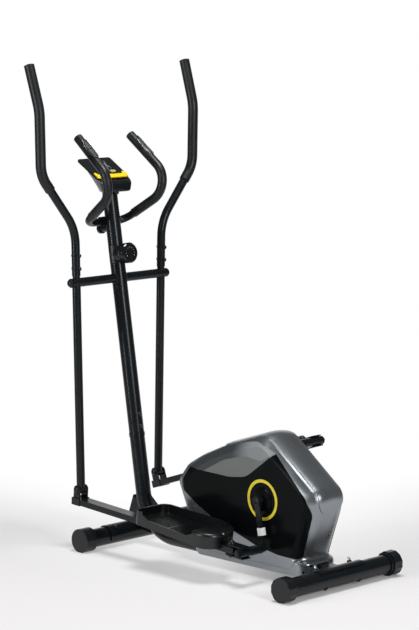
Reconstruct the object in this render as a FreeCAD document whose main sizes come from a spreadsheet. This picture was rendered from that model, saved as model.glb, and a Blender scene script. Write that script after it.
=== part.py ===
import FreeCAD, Part
import math
import os
from types import SimpleNamespace

import Sketcher
from FreeCAD import Placement, Rotation, Vector

# Elliptical trainer. X points forwards to the mast, Y to the user's left, Z up from the floor.
# The origin is on the floor at the middle of the machine's box. Lengths in mm, angles in degrees.

SIZES = {
    # stabilisers on the floor
    "foot_height": 38.0, "foot_tube_radius": 30.0, "tube_wall": 2.0,
    "front_foot_x": 373.9, "rear_foot_x": -537.1,
    "front_foot_half": 250.0, "rear_foot_half": 255.0,
    "cap_radius": 39.3, "cap_length": 44.0, "cap_end": 6.0, "cap_gap": 0.3, "collar_length": 9.0,
    "front_saddle_half": 139.0, "rear_saddle_half": 100.0, "saddle_wall": 4.0, "saddle_gap": 0.3,
    "front_bolt_y": 112.0, "rear_bolt_y": 75.0, "foot_bolt_tilt": 52.0,
    "bolt_radius": 4.0, "dome_radius": 8.0, "dome_height": 9.0,
    # welded frame
    "base_tube_radius": 25.0, "base_height": 37.0, "base_rear_x": -475.1, "frame_bend": 150.0,
    "gusset_thickness": 5.0, "bridge_width": 44.0,
    "neck_radius": 22.9, "neck_length": 110.0,
    "shell_radius": 22.0, "shell_half": 34.0, "brace_radius": 14.0,
    "fork_gap": 44.0, "fork_plate": 5.0, "fork_width": 50.0,
    # mast
    "mast_lean": 8.83, "mast_radius": 25.0, "mast_wall": 1.8, "mast_joint_drop": 526.0, "mast_rise": 300.0,
    "pivot_x": 445.9, "pivot_z": 873.0,
    "cross_tube_half": 75.0, "cross_tube_radius": 15.0,
    "axle_radius": 8.0, "axle_half": 212.0, "running_gap": 0.05, "end_gap": 0.3,
    # swing arms
    "arm_plane_y": 187.5, "arm_drop": 681.0, "arm_radius": 14.0, "arm_wall": 1.6,
    "bush_flange": 1.5, "bush_radius": 12.0,
    "arm_socket": 22.0, "arm_overlap": 98.0, "sleeve_gap": 0.2,
    "arm_bend_height": 175.0, "arm_out": 139.0, "arm_straight_height": 354.0,
    "arm_top_bend_height": 560.0, "arm_top_height": 705.0, "arm_top_forward": 46.0,
    "arm_low_bend": 150.0, "arm_mid_bend": 100.0,
    "grip_radius": 17.0, "grip_gap": 0.1, "grip_start_out": 102.0, "grip_plug_length": 4.0,
    "arm_bolt_low": 46.0, "arm_bolt_high": 88.0,
    "lower_bush_radius": 14.0, "pin_radius": 5.0,
    # pedal bars, in their own frame: X along the tube from the crank pin, Z across it
    "bar_reach": 756.9, "pivot_rise": 39.2, "bar_width": 40.0, "bar_height": 20.0, "bar_wall": 2.0,
    "bar_rear": 28.0, "bar_front": 774.0, "ear_gap": 29.0, "ear_plate": 4.0, "ear_width": 30.0,
    "plug_length": 38.0, "plug_wall": 2.0, "plug_end": 3.0,
    "big_dome_radius": 14.0, "big_dome_height": 8.5,
    "joint_sleeve_radius": 14.5, "joint_plate": 3.6, "joint_plate_reach": 73.0, "joint_plate_back": 12.0,
    "joint_width": 36.0, "hinge_bolt_x": 55.0, "hinge_bolt_radius": 5.0,
    "joint_dome_radius": 12.5, "joint_dome_height": 10.5,
    "sleeve_inner_y": 112.5, "sleeve_outer_y": 214.0, "pin_shaft_radius": 8.0, "pin_nut_length": 7.0,
    # footplates
    "pedal_rear": 84.0, "pedal_length": 343.0, "pedal_inner": 74.0, "pedal_outer": 69.5,
    "pedal_tilt": 2.5, "pedal_floor": 4.0, "pedal_skirt": 14.0, "pedal_wall": 5.0, "heel_radius": 58.0,
    "toe_radius": 30.0, "pedal_heel_height": 55.0, "pedal_toe_height": 43.0, "pedal_lip": 25.0,
    "heel_block": 92.0, "heel_top": 36.0,
    "pedal_bolt_radius": 4.0, "pedal_gap": 0.3,
    "rib_width": 2.5, "rib_height": 1.5, "rib_pitch": 9.0,
    # cranks and drive
    "crank_x": -291.4, "crank_z": 250.2, "crank_throw": 146.5, "crank_angle": -10.4,
    "crank_inner_y": 99.0, "crank_thickness": 10.0, "crank_hub_radius": 14.5, "crank_eye_radius": 12.0,
    "crank_axle_radius": 8.5, "crank_square": 13.0, "pin_clearance": 0.4, "washer_length": 2.6,
    "bearing_radius": 17.5, "bearing_width": 12.0,
    "pulley_radius": 120.0, "pulley_width": 18.0, "pulley_y": 53.0, "pulley_web": 5.0, "pulley_rim": 10.0,
    "belt_thickness": 3.0, "belt_width": 14.0, "belt_gap": 0.3,
    "flywheel_x": -62.1, "flywheel_z": 190.0, "flywheel_radius": 100.0, "flywheel_width": 26.0,
    "flywheel_axle_radius": 6.0, "small_pulley_radius": 16.0,
    "idler_radius": 18.0, "idler_share": 0.55,
    "magnet_gap": 3.0, "magnet_plate": 4.0, "magnet_width": 30.0,
    # drive cover
    "cover_half": 80.0, "cover_wall": 3.0, "cover_bottom": 31.0, "nose_radius": 90.0, "tail_radius": 50.0,
    "tail_flat": 30.0, "spine_half": 53.0, "spine_front": 185.0, "tongue_z": 268.0, "tongue_length": 44.0,
    "skirt_height": 20.0, "seam_width": 1.6,
    "crown_radius": 230.0, "shoulder_y": 60.0, "spine_height": 3.5, "cover_chamfer": 20.0,
    "panel_thickness": 1.5, "ring_outer": 64.5, "ring_band": 10.0, "ring_thickness": 0.8,
    "hub_cover_radius": 40.0, "hub_cover_height": 6.0, "hub_hole_radius": 14.0,
    "collar_z": 74.0, "collar_height": 8.0, "collar_lip": 7.0,
    "screw_radius": 3.6,
    # fixed handlebar
    "bar_tube_radius": 13.0, "horn_y": 85.0, "handle_z": 1054.0, "handle_gap": 1.0,
    "horn_back": 201.0, "horn_rise": 128.0, "horn_reach": 200.0, "horn_lift": 154.0,
    "horn_back_y": 127.0, "horn_tip_y": 115.0,
    "handle_bend": 44.0, "horn_bend": 70.0, "foam_radius": 15.5, "foam_start": 48.0,
    "clamp_width": 46.0, "clamp_wall": 4.0, "clamp_knob_radius": 17.0, "clamp_knob_drop": 21.0,
    "clamp_knob_reach": 66.0,
    "sensor_length": 80.0, "sensor_width": 24.0, "sensor_drop": 72.0, "sensor_turn": 6.0, "bezel_rim": 8.0,
    # console
    "console_top_x": 568.9, "console_top_z": 1262.0, "console_tilt": 31.0, "console_length": 114.0,
    "console_half": 71.0, "console_edge": 6.0, "trim_length": 20.0, "chin_x": 446.0, "chin_z": 1175.0,
    "console_foot_rear": 446.0, "console_foot_front": 516.0, "console_foot_z": 1158.0,
    "lens_width": 86.0, "lens_length": 46.0,
    "button_width": 24.0, "button_length": 12.0, "button_travel": 1.5,
    # tension knob
    "knob_rise": 78.0, "knob_radius": 34.0, "knob_length": 26.0, "base_length": 18.0, "band_height": 58.0,
}

doc = FreeCAD.newDocument("elliptical_trainer")
sheet = doc.addObject("Spreadsheet::Sheet", "Sizes")
for row, (name, number) in enumerate(SIZES.items(), 1):
    sheet.set(f"A{row}", name)
    sheet.set(f"B{row}", str(number))
    sheet.setAlias(f"B{row}", name)
doc.recompute()


class Size:
    """A number together with the sheet formula that gives it, so that sums of sizes stay bound."""

    def __init__(self, number, formula):
        self.number = number
        self.formula = formula

    def joined(self, other, sign, number):
        return Size(number, f"({self.formula} {sign} {text(other)})")

    def __add__(self, other):
        return self.joined(other, "+", self.number + num(other))

    def __sub__(self, other):
        return self.joined(other, "-", self.number - num(other))

    def __mul__(self, other):
        return self.joined(other, "*", self.number * num(other))

    def __truediv__(self, other):
        return self.joined(other, "/", self.number / num(other))

    def __radd__(self, other):
        return Size(num(other) + self.number, f"({text(other)} + {self.formula})")

    def __rsub__(self, other):
        return Size(num(other) - self.number, f"({text(other)} - {self.formula})")

    __rmul__ = __mul__

    def __neg__(self):
        return Size(-self.number, f"(-1 * {self.formula})")


def num(value):
    return value.number if isinstance(value, Size) else float(value)


def text(value):
    return value.formula if isinstance(value, Size) else f"({float(value)})"


S = SimpleNamespace(**{name: Size(number, "Sizes." + name) for name, number in SIZES.items()})

TURNS = {"X": Rotation(Vector(0, 1, 0), 90), "Y": Rotation(Vector(1, 0, 0), -90), "Z": Rotation()}
NODES = []          # the finished sub-parts, in order
count = 0


def fresh(kind):
    """A new object with a plain unused name; finished sub-parts get their label later."""
    global count
    count += 1
    return doc.addObject(kind, f"step_{count:03d}")


def bind(item, **sizes):
    for prop, value in sizes.items():
        setattr(item, prop, num(value))
        if isinstance(value, Size):
            item.setExpression(prop, value.formula)
    return item


def prism(sides, radius, height):
    """An upright bar with so many flat sides, standing on the XY plane."""
    item = bind(fresh("Part::Prism"), Circumradius=radius, Height=height)
    item.Polygon = sides
    return item


def place(item, x=0, y=0, z=0, rotation=None):
    item.Placement = Placement(Vector(num(x), num(y), num(z)), rotation or Rotation())
    for axis, value in (("x", x), ("y", y), ("z", z)):
        if isinstance(value, Size):
            item.setExpression("Placement.Base." + axis, value.formula)
    return item


def carried(item, placement):
    """The piece taken by a placement to where it sits, with its own bound place kept inside."""
    if item.ExpressionEngine:
        item = group(item)
    item.Placement = placement.multiply(item.Placement)
    return item


def node(label, item, placement=None):
    """Mark an object as a finished sub-part, carried to where it sits."""
    if placement is not None:
        item = carried(item, placement)
    item.Label = label
    NODES.append(item)
    return item


def rod(radius, start, end, x=0, y=0, z=0, along="Y"):
    """A round bar along one axis from start to end, its centre line through the other two places."""
    item = bind(fresh("Part::Cylinder"), Radius=radius, Height=end - start)
    spot = {"X": (start, y, z), "Y": (x, start, z), "Z": (x, y, start)}[along]
    return place(item, *spot, TURNS[along])


def block(x, y, z):
    """A box given by its (low, high) limits along each axis."""
    item = bind(fresh("Part::Box"), Length=x[1] - x[0], Width=y[1] - y[0], Height=z[1] - z[0])
    return place(item, x[0], y[0], z[0])


def fuse(*items):
    item = fresh("Part::MultiFuse")
    item.Shapes = list(items)
    return item


def cut(base, *tools):
    item = fresh("Part::Cut")
    item.Base = base
    item.Tool = tools[0] if len(tools) == 1 else fuse(*tools)
    return item


def common(*items):
    item = fresh("Part::MultiCommon")
    item.Shapes = list(items)
    return item


def group(*items):
    """Several loose solids kept together as one sub-part."""
    item = fresh("Part::Compound")
    item.Links = list(items)
    return item


def mirrored(item):
    """The same piece on the other side of the machine."""
    twin = fresh("Part::Mirroring")
    twin.Source = item
    twin.Normal = Vector(0, 1, 0)
    return twin


def solid(shape):
    item = fresh("Part::Feature")
    item.Shape = shape
    return item


def sketch_polygon(body, plane, points):
    """A closed polygon whose corners are each bound to their sizes."""
    sketch = body.newObject("Sketcher::SketchObject", body.Name + "_sketch")
    base = [item for item in body.Origin.OriginFeatures if item.Role == plane][0]
    sketch.AttachmentSupport = [(base, "")]
    sketch.MapMode = "FlatFace"
    corners = [Vector(num(a), num(b), 0) for a, b in points]
    for number, corner in enumerate(corners):
        sketch.addGeometry(Part.LineSegment(corner, corners[(number + 1) % len(corners)]), False)
    for number in range(len(corners)):
        sketch.addConstraint(Sketcher.Constraint("Coincident", number, 2, (number + 1) % len(corners), 1))
    for number, (a, b) in enumerate(points):
        for kind, value in (("DistanceX", a), ("DistanceY", b)):
            index = sketch.addConstraint(Sketcher.Constraint(kind, -1, 1, number, 1, num(value)))
            if isinstance(value, Size):
                sketch.setExpression(f"Constraints[{index}]", value.formula)
    return sketch


def padded(plane, points, length, middle=False, back=False):
    """A polygon drawn on an origin plane and padded: along +Z on XY, along -Y on XZ, along +X on YZ."""
    body = fresh("PartDesign::Body")
    sketch = sketch_polygon(body, plane + "_Plane", points)
    pad = body.newObject("PartDesign::Pad", body.Name + "_pad")
    pad.Profile = sketch
    bind(pad, Length=length)
    pad.Reversed = back
    pad.Midplane = middle
    return body


def turned(points, x=0, y=0, z=0, along="Y"):
    """A polygon of (radius, distance) pairs turned about the axis that it is measured along."""
    body = fresh("PartDesign::Body")
    sketch = sketch_polygon(body, "XZ_Plane", points)
    turn = body.newObject("PartDesign::Revolution", body.Name + "_turn")
    turn.Profile = sketch
    turn.ReferenceAxis = (sketch, ["V_Axis"])
    turn.Angle = 360
    return place(body, x, y, z, TURNS[along])


def rounded(item, radius, choose):
    """Fillet the last feature of a body on the edges that choose() picks."""
    doc.recompute()
    shape = item.Shape
    names = [f"Edge{number}" for number, edge in enumerate(shape.Edges, 1) if choose(edge)]
    tip = item.Tip
    fillet = item.newObject("PartDesign::Fillet", f"{item.Name}_round_{len(item.Group)}")
    fillet.Base = (tip, names)
    bind(fillet, Radius=radius)
    return item


def domed(radius, height, x=0, y=0, z=0, along="Y", flip=False):
    """A low domed cap: part of a ball cut off flat, standing on the plane at its place."""
    ball = (num(radius) ** 2 + num(height) ** 2) / (2 * num(height))
    cap = Part.makeSphere(ball, Vector(0, 0, num(height) - ball))
    cap = cap.common(Part.makeCylinder(num(radius), num(height)))
    turn = TURNS[along].multiply(Rotation(Vector(1, 0, 0), 180)) if flip else TURNS[along]
    cap.Placement = Placement(Vector(num(x), num(y), num(z)), turn)
    return solid(cap)


def bent_wire(points, radii):
    """A path of straight runs joined by tangent arcs, with one radius for each inner point."""
    corners = [Vector(*[num(c) for c in point]) for point in points]
    start = corners[0]
    edges = []
    for number, radius in enumerate(radii, 1):
        corner, after = corners[number], corners[number + 1]
        to_start = (corners[number - 1] - corner).normalize()
        to_after = (after - corner).normalize()
        half = to_start.getAngle(to_after) / 2
        run = num(radius) / math.tan(half)
        middle = (to_start + to_after).normalize()
        enter, leave = corner + to_start * run, corner + to_after * run
        crest = corner + middle * (num(radius) / math.sin(half) - num(radius))
        edges.append(Part.LineSegment(start, enter).toShape())
        edges.append(Part.Arc(enter, crest, leave).toShape())
        start = leave
    edges.append(Part.LineSegment(start, corners[-1]).toShape())
    return Part.Wire(edges)


def swept(points, radii, outer, inner=None):
    """A round bar, or a tube where inner is given, along a bent path."""
    path = bent_wire(points, radii)
    start = path.Edges[0].valueAt(path.Edges[0].FirstParameter)
    aim = path.Edges[0].tangentAt(path.Edges[0].FirstParameter)

    def run(radius):
        ring = Part.Wire([Part.Circle(start, aim, num(radius)).toShape()])
        return path.makePipeShell([ring], True, False)

    shape = run(outer)
    return shape if inner is None else shape.cut(run(inner))


def rounded_outline(points, radii, lift=0.0):
    """A closed outline in the XZ plane whose corners are rounded, each with its own radius."""
    corners = [Vector(num(x), lift, num(z)) for x, z in points]
    total = len(corners)
    edges = []
    spots = []
    for number, corner in enumerate(corners):
        radius = num(radii[number])
        before = (corners[number - 1] - corner).normalize()
        after = (corners[(number + 1) % total] - corner).normalize()
        if radius == 0:
            spots.append((corner, None, corner))
            continue
        half = before.getAngle(after) / 2
        run = radius / math.tan(half)
        crest = corner + (before + after).normalize() * (radius / math.sin(half) - radius)
        spots.append((corner + before * run, crest, corner + after * run))
    for number, (enter, crest, leave) in enumerate(spots):
        if crest is not None:
            edges.append(Part.Arc(enter, crest, leave).toShape())
        edges.append(Part.LineSegment(leave, spots[(number + 1) % total][0]).toShape())
    return Part.Wire(edges)


# ---------------------------------------------------------------- linkage at rest

def bar_offset_angle():
    return math.degrees(math.atan2(num(S.pivot_rise), num(S.bar_reach)))


def pin_spot(side):
    """The crank pin: the left crank hangs at crank_angle from straight down, the right one is opposite."""
    angle = math.radians(num(S.crank_angle))
    throw = num(S.crank_throw) * side
    return num(S.crank_x) + throw * math.sin(angle), num(S.crank_z) - throw * math.cos(angle)


def low_pivot_spot(side):
    """Where the swing arm meets the pedal bar: on a circle about the arm's axle and one about the pin."""
    px, pz = pin_spot(side)
    dx, dz = num(S.pivot_x) - px, num(S.pivot_z) - pz
    apart = math.hypot(dx, dz)
    bar = math.hypot(num(S.bar_reach), num(S.pivot_rise))
    along = (apart ** 2 + bar ** 2 - num(S.arm_drop) ** 2) / (2 * apart)
    across = math.sqrt(bar ** 2 - along ** 2)
    ux, uz = dx / apart, dz / apart
    return px + along * ux + across * uz, pz + along * uz - across * ux


def bar_tilt(side):
    """How far the pedal bar's tube rises to the front, in degrees."""
    px, pz = pin_spot(side)
    lx, lz = low_pivot_spot(side)
    return math.degrees(math.atan2(lz - pz, lx - px)) - bar_offset_angle()


def arm_swing(side):
    """How far the arm's lower end stands forward of straight down, in degrees."""
    lx, lz = low_pivot_spot(side)
    return math.degrees(math.atan2(lx - num(S.pivot_x), num(S.pivot_z) - lz))


def bar_frame(side):
    px, pz = pin_spot(side)
    return Placement(Vector(px, side * num(S.arm_plane_y), pz), Rotation(Vector(0, 1, 0), -bar_tilt(side)))


def arm_frame(side):
    spot = Vector(num(S.pivot_x), side * num(S.arm_plane_y), num(S.pivot_z))
    return Placement(spot, Rotation(Vector(0, 1, 0), -arm_swing(side)))


def mast_frame():
    """Z runs up the mast from the arm axle."""
    return Placement(Vector(num(S.pivot_x), 0, num(S.pivot_z)), Rotation(Vector(0, 1, 0), num(S.mast_lean)))


def crank_frame():
    """The crank set's own frame, with the left crank hanging straight down in it."""
    spot = Vector(num(S.crank_x), 0, num(S.crank_z))
    return Placement(spot, Rotation(Vector(0, 1, 0), -num(S.crank_angle)))


# ---------------------------------------------------------------- stabilisers

BORE = S.axle_radius + S.running_gap
FACE = S.cover_half - S.panel_thickness


def floor_cut(item):
    """Take away what would reach below the floor."""
    return cut(item, block((-900, 900), (-600, 600), (-60, 0)))


def foot_tube(label, x, half, bolt_y, tilt):
    reach = half - S.cap_end
    tube = cut(rod(S.foot_tube_radius, -reach, reach, x, 0, S.foot_height),
               rod(S.foot_tube_radius - S.tube_wall, -reach - 1, reach + 1, x, 0, S.foot_height))
    holes = [bolt_hole(x, side * bolt_y, tilt) for side in (1, -1)]
    return node(label, cut(tube, *holes))


def tilted(item, x, y, tilt):
    """Stand a piece made about the Z axis across a stabiliser, tipped along X."""
    spot = Vector(num(x), num(y), num(S.foot_height))
    item.Placement = Placement(spot, Rotation(Vector(0, 1, 0), num(tilt))).multiply(item.Placement)
    return item


def bolt_hole(x, y, tilt):
    hole = bind(fresh("Part::Cylinder"), Radius=S.bolt_radius + 0.3, Height=S.foot_tube_radius * 4)
    hole.Placement.Base = Vector(0, 0, -2 * num(S.foot_tube_radius))
    return tilted(hole, x, y, tilt)


def foot_bolt(x, y, tilt):
    """A carriage bolt from below through the tube and saddle, with a domed nut on top."""
    seat = S.foot_tube_radius + S.saddle_gap + S.saddle_wall
    shaft = rod(S.bolt_radius, -S.foot_tube_radius - 1, seat + 3, along="Z")
    head = domed(S.dome_radius + 1, 4, z=-S.foot_tube_radius, along="Z", flip=True)
    nut = prism(6, S.dome_radius, 5)
    place(nut, 0, 0, seat)
    dome = domed(S.dome_radius - 1.2, S.dome_height - 4, z=seat + 4.5, along="Z")
    return tilted(fuse(shaft, head, nut, dome), x, y, tilt)


def saddle(x, half, tilt):
    """A half pipe that lies on the stabiliser, open away from its bolts."""
    inner = S.foot_tube_radius + S.saddle_gap
    shell = bind(fresh("Part::Cylinder"), Radius=inner + S.saddle_wall, Height=half * 2, Angle=150)
    hollow = bind(fresh("Part::Cylinder"), Radius=inner, Height=half * 2 + 2)
    hollow.Placement.Base = Vector(0, 0, -1)
    shell.Placement = Placement(Vector(), Rotation(Vector(0, 0, 1), -75))
    piece = cut(shell, hollow)
    turn = Rotation(Vector(0, 1, 0), num(tilt) - 90).multiply(Rotation(Vector(1, 0, 0), 90))
    piece.Placement = Placement(Vector(num(x), num(half), num(S.foot_height)), turn)
    return piece


def front_cap(side):
    """A plain round plastic cap with a small flat where it stands on the floor."""
    end = S.front_foot_half * side
    start = (S.front_foot_half - S.cap_length) * side
    low, high = (start, end) if side > 0 else (end, start)
    inner = S.foot_tube_radius + S.cap_gap
    depth = S.front_foot_half - S.cap_end + S.cap_gap
    hollow_low, hollow_high = (start - 1, depth) if side > 0 else (-1 * depth, start + 1)
    cap = cut(rod(S.cap_radius, low, high, S.front_foot_x, 0, S.foot_height),
              rod(inner, hollow_low, hollow_high, S.front_foot_x, 0, S.foot_height))
    return floor_cut(cap)


def rear_cap(side):
    """A twelve sided levelling cap that rests on one flat, with a round collar on its inner side."""
    corner = S.foot_height / math.cos(math.radians(15))
    inner = S.foot_tube_radius + S.cap_gap
    body = prism(12, corner, S.cap_length - S.collar_length)
    body.Placement = Placement(Vector(), Rotation(Vector(0, 0, 1), 15))
    collar = rod(inner + 4, -S.collar_length, 1, along="Z")
    hollow = rod(inner, -S.collar_length - 1, S.cap_length - S.collar_length - S.cap_end + S.cap_gap, along="Z")
    cap = cut(fuse(body, collar), hollow)
    spot = Vector(num(S.rear_foot_x), side * num(S.rear_foot_half - S.cap_length + S.collar_length),
                  num(S.foot_height))
    cap.Placement = Placement(spot, Rotation(Vector(1, 0, 0), -90 * side))
    return cap


foot_tube("front_foot_tube", S.front_foot_x, S.front_foot_half, S.front_bolt_y, S.foot_bolt_tilt * -1 + 15)
foot_tube("rear_foot_tube", S.rear_foot_x, S.rear_foot_half, S.rear_bolt_y, 90 - S.foot_bolt_tilt)
node("front_foot_caps", group(front_cap(1), front_cap(-1)))
node("left_rear_foot_cap", rear_cap(1))
node("right_rear_foot_cap", rear_cap(-1))
FRONT_TILT = S.foot_bolt_tilt * -1 + 15
REAR_TILT = 90 - S.foot_bolt_tilt
node("foot_bolts", group(*[foot_bolt(x, side * y, tilt) for side in (1, -1) for x, y, tilt in
                           ((S.front_foot_x, S.front_bolt_y, FRONT_TILT),
                            (S.rear_foot_x, S.rear_bolt_y, REAR_TILT))]))


# ---------------------------------------------------------------- welded frame

def mast_point(rise):
    """A point on the mast's centre line, so far up it from the arm axle."""
    lean = math.radians(num(S.mast_lean))
    return num(S.pivot_x) + num(rise) * math.sin(lean), num(S.pivot_z) + num(rise) * math.cos(lean)


def flat_plate(points, thickness):
    """A plate cut to an outline in the XZ plane, centred on the machine's middle plane."""
    return padded("XZ", points, thickness, middle=True)


MAST_BOLTS = (72, 32)
SIDE_BOLT = 50


def bolt_rise(above):
    """Where a bolt so far above the mast's lower end is, counted from the arm axle."""
    return -S.mast_joint_drop + above


def main_frame():
    lean = math.radians(num(S.mast_lean))
    corner_x = num(S.pivot_x) - (num(S.pivot_z) - num(S.base_height)) * math.tan(lean)
    top_x, top_z = mast_point(-S.mast_joint_drop)
    path = [(S.base_rear_x, 0, S.base_height), (corner_x, 0, S.base_height), (top_x, 0, top_z)]
    tube = solid(swept(path, [S.frame_bend], S.base_tube_radius))
    inside = solid(swept(path, [S.frame_bend], S.base_tube_radius - S.tube_wall))
    neck = rod(S.neck_radius, -S.mast_joint_drop - 20, -S.mast_joint_drop + S.neck_length, along="Z")
    neck_bore = rod(S.neck_radius - S.tube_wall, -S.mast_joint_drop - 21,
                    -S.mast_joint_drop + S.neck_length + 1, along="Z")
    neck, neck_bore = [carried(piece, mast_frame()) for piece in (neck, neck_bore)]
    inner = S.foot_tube_radius + S.saddle_gap
    front_gusset = flat_plate([(S.front_foot_x + 1, 156), (S.front_foot_x + 24, 93),
                               (S.front_foot_x + 26, 60), (S.front_foot_x, 50),
                               (S.front_foot_x - 80, 40), (S.front_foot_x - 40, 120)], S.bridge_width / 2)
    rear_gusset = flat_plate([(corner_x - 4, 172), (corner_x - 45, 139), (corner_x - 113, 85),
                              (corner_x - 125, 50), (corner_x - 60, 62), (corner_x - 10, 110),
                              (corner_x + 8, 165)], S.gusset_thickness)
    bridge = flat_plate([(S.rear_foot_x + 15, 66), (S.rear_foot_x + 70, 66), (S.rear_foot_x + 100, 60),
                         (S.rear_foot_x + 100, 14), (S.rear_foot_x + 40, 16),
                         (S.rear_foot_x + 20, 40)], S.bridge_width)
    shell = rod(S.shell_radius, -S.shell_half, S.shell_half, S.crank_x, 0, S.crank_z)
    brace = rod(S.brace_radius, S.base_height, S.crank_z - S.bearing_radius - 1, S.crank_x, 0, along="Z")
    plates = []
    top = S.flywheel_z + S.flywheel_radius + S.magnet_gap + 22
    for side in (1, -1):
        low, high = S.fork_gap / 2 * side, (S.fork_gap / 2 + S.fork_plate) * side
        span = (low, high) if side > 0 else (high, low)
        plates.append(block((S.flywheel_x - S.fork_width / 2, S.flywheel_x + S.fork_width / 2), span,
                            (S.base_height, top)))
    solids = fuse(tube, neck, front_gusset, rear_gusset, bridge, shell, brace, *plates,
                  saddle(S.front_foot_x, S.front_saddle_half, FRONT_TILT),
                  saddle(S.rear_foot_x, S.rear_saddle_half, REAR_TILT))
    bearing = rod(S.bearing_radius + S.running_gap, -S.shell_half - 1, S.shell_half + 1, S.crank_x, 0, S.crank_z)
    axle = rod(S.flywheel_axle_radius + S.running_gap, -60, 60, S.flywheel_x, 0, S.flywheel_z)
    magnet = rod(S.pin_radius, -60, 60, S.flywheel_x, 0, magnet_pivot_z())
    feet = [rod(inner, -200, 200, x, 0, S.foot_height) for x in (S.front_foot_x, S.rear_foot_x)]
    holes = [bolt_hole(x, side * y, tilt) for side in (1, -1) for x, y, tilt in
             ((S.front_foot_x, S.front_bolt_y, FRONT_TILT), (S.rear_foot_x, S.rear_bolt_y, REAR_TILT))]
    threads = [rod(S.bolt_radius + S.running_gap, -60, 0, z=bolt_rise(z), along="X") for z in MAST_BOLTS]
    threads.append(rod(S.bolt_radius + S.running_gap, -60, 60, z=bolt_rise(SIDE_BOLT)))
    threads = [carried(thread, mast_frame()) for thread in threads]
    return cut(solids, inside, neck_bore, bearing, axle, magnet, *feet, *holes, *threads)


def magnet_pivot_z():
    return S.flywheel_z + S.flywheel_radius + S.magnet_gap + 12


node("main_frame", main_frame())


# ---------------------------------------------------------------- mast

def mast():
    low, high = -S.mast_joint_drop + 0.3, S.mast_rise
    tube = rod(S.mast_radius, low, high, along="Z")
    swage = turned([(S.mast_radius - 1, low), (S.mast_radius + 1.5, low), (S.mast_radius + 1.5, low + 10),
                    (S.mast_radius - 1, low + 16)], along="Z")
    bore = rod(S.mast_radius - S.mast_wall, low - 1, high + 1, along="Z")
    cross = rod(S.cross_tube_radius, -S.cross_tube_half, S.cross_tube_half)
    axle = rod(BORE, -S.cross_tube_half - 1, S.cross_tube_half + 1)
    holes = [rod(S.bolt_radius + 0.2, -40, 0, y=0, z=bolt_rise(z), along="X") for z in MAST_BOLTS]
    side_hole = rod(S.bolt_radius + 0.2, -40, 40, z=bolt_rise(SIDE_BOLT))
    return cut(fuse(cut(fuse(tube, swage), bore), cross), axle, side_hole, *holes)


def mast_bolts():
    """Short domed bolts into the neck: two at the rear and one on each side."""
    start = S.neck_radius - S.tube_wall - 4
    pieces = []
    for above in MAST_BOLTS:
        shaft = rod(S.bolt_radius, -S.mast_radius - 1, -1 * start, z=bolt_rise(above), along="X")
        head = domed(S.dome_radius, 5, x=-S.mast_radius, z=bolt_rise(above), along="X", flip=True)
        pieces.append(fuse(shaft, head))
    for side in (1, -1):
        low, high = (start, S.mast_radius + 1) if side > 0 else (-S.mast_radius - 1, -1 * start)
        shaft = rod(S.bolt_radius, low, high, z=bolt_rise(SIDE_BOLT))
        head = domed(S.dome_radius, 5, y=S.mast_radius * side, z=bolt_rise(SIDE_BOLT), flip=side < 0)
        pieces.append(fuse(shaft, head))
    return group(*pieces)


node("mast", mast(), mast_frame())
node("mast_bolts", mast_bolts(), mast_frame())
node("arm_axle", rod(S.axle_radius, -S.axle_half, S.axle_half, S.pivot_x, 0, S.pivot_z))


def axle_cap(side):
    """A domed cap nut that keeps the arm on its axle."""
    start = S.arm_plane_y + 22.5 + S.bush_flange + S.end_gap
    cap = fuse(rod(S.bush_radius + 1, start, start + 3), domed(S.bush_radius + 1, 8, y=start + 3))
    cap = cut(cap, rod(S.axle_radius, start - 1, S.axle_half))
    if side < 0:
        cap = mirrored(cap)
    return cap


caps = group(axle_cap(1), axle_cap(-1))
place(caps, S.pivot_x, 0, S.pivot_z)
node("axle_caps", caps)


# ---------------------------------------------------------------- swing arms

SLEEVE = (S.cross_tube_half + S.bush_flange + 0.5 - S.arm_plane_y, 22.5)


def lower_arm():
    low = -S.arm_drop
    ears = S.ear_gap / 2 - S.end_gap
    outer = fuse(rod(S.arm_radius, low, -4, along="Z"), rod(S.cross_tube_radius, SLEEVE[0], SLEEVE[1]),
                 rod(S.lower_bush_radius, -1 * ears, ears, z=low),
                 rod(S.arm_radius - S.arm_wall - S.sleeve_gap, 4, S.arm_overlap, along="Z"))
    bore = rod(S.bush_radius + S.running_gap, SLEEVE[0] - 1, SLEEVE[1] + 1)
    hollow = rod(S.arm_radius - S.arm_wall, low + S.lower_bush_radius + 2, -4, along="Z")
    core = rod(S.arm_radius - S.arm_wall * 2 - S.sleeve_gap, 4, S.arm_overlap + 1, along="Z")
    pin = rod(S.pin_radius + S.running_gap, -1 * ears - 1, ears + 1, z=low)
    holes = [rod(S.bolt_radius + 0.2, -30, 30, z=z, along="X") for z in (S.arm_bolt_low, S.arm_bolt_high)]
    return cut(outer, bore, hollow, core, pin, *holes)


def arm_bushes():
    """Two flanged bushes, one in each end of the sleeve."""
    pieces = []
    for end, way in ((SLEEVE[0], -1), (Size(SLEEVE[1], "22.5"), 1)):
        inner, outer = end - 18 * way, end + S.bush_flange * way
        low, high = (inner, end) if way > 0 else (end, inner)
        flange_low, flange_high = (end, outer) if way > 0 else (outer, end)
        bush = fuse(rod(S.bush_radius, low, high), rod(S.cross_tube_radius, flange_low, flange_high))
        pieces.append(cut(bush, rod(BORE, flange_low - 30, flange_high + 30)))
    return group(*pieces)


def arm_path(side):
    out = S.arm_out * side
    return [(0, 0, S.arm_socket), (0, 0, S.arm_bend_height), (0, out, S.arm_straight_height),
            (0, out, S.arm_top_bend_height), (S.arm_top_forward, out, S.arm_top_height)]


ARM_BENDS = [S.arm_low_bend, S.arm_mid_bend, S.arm_mid_bend * 0.9]


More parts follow.
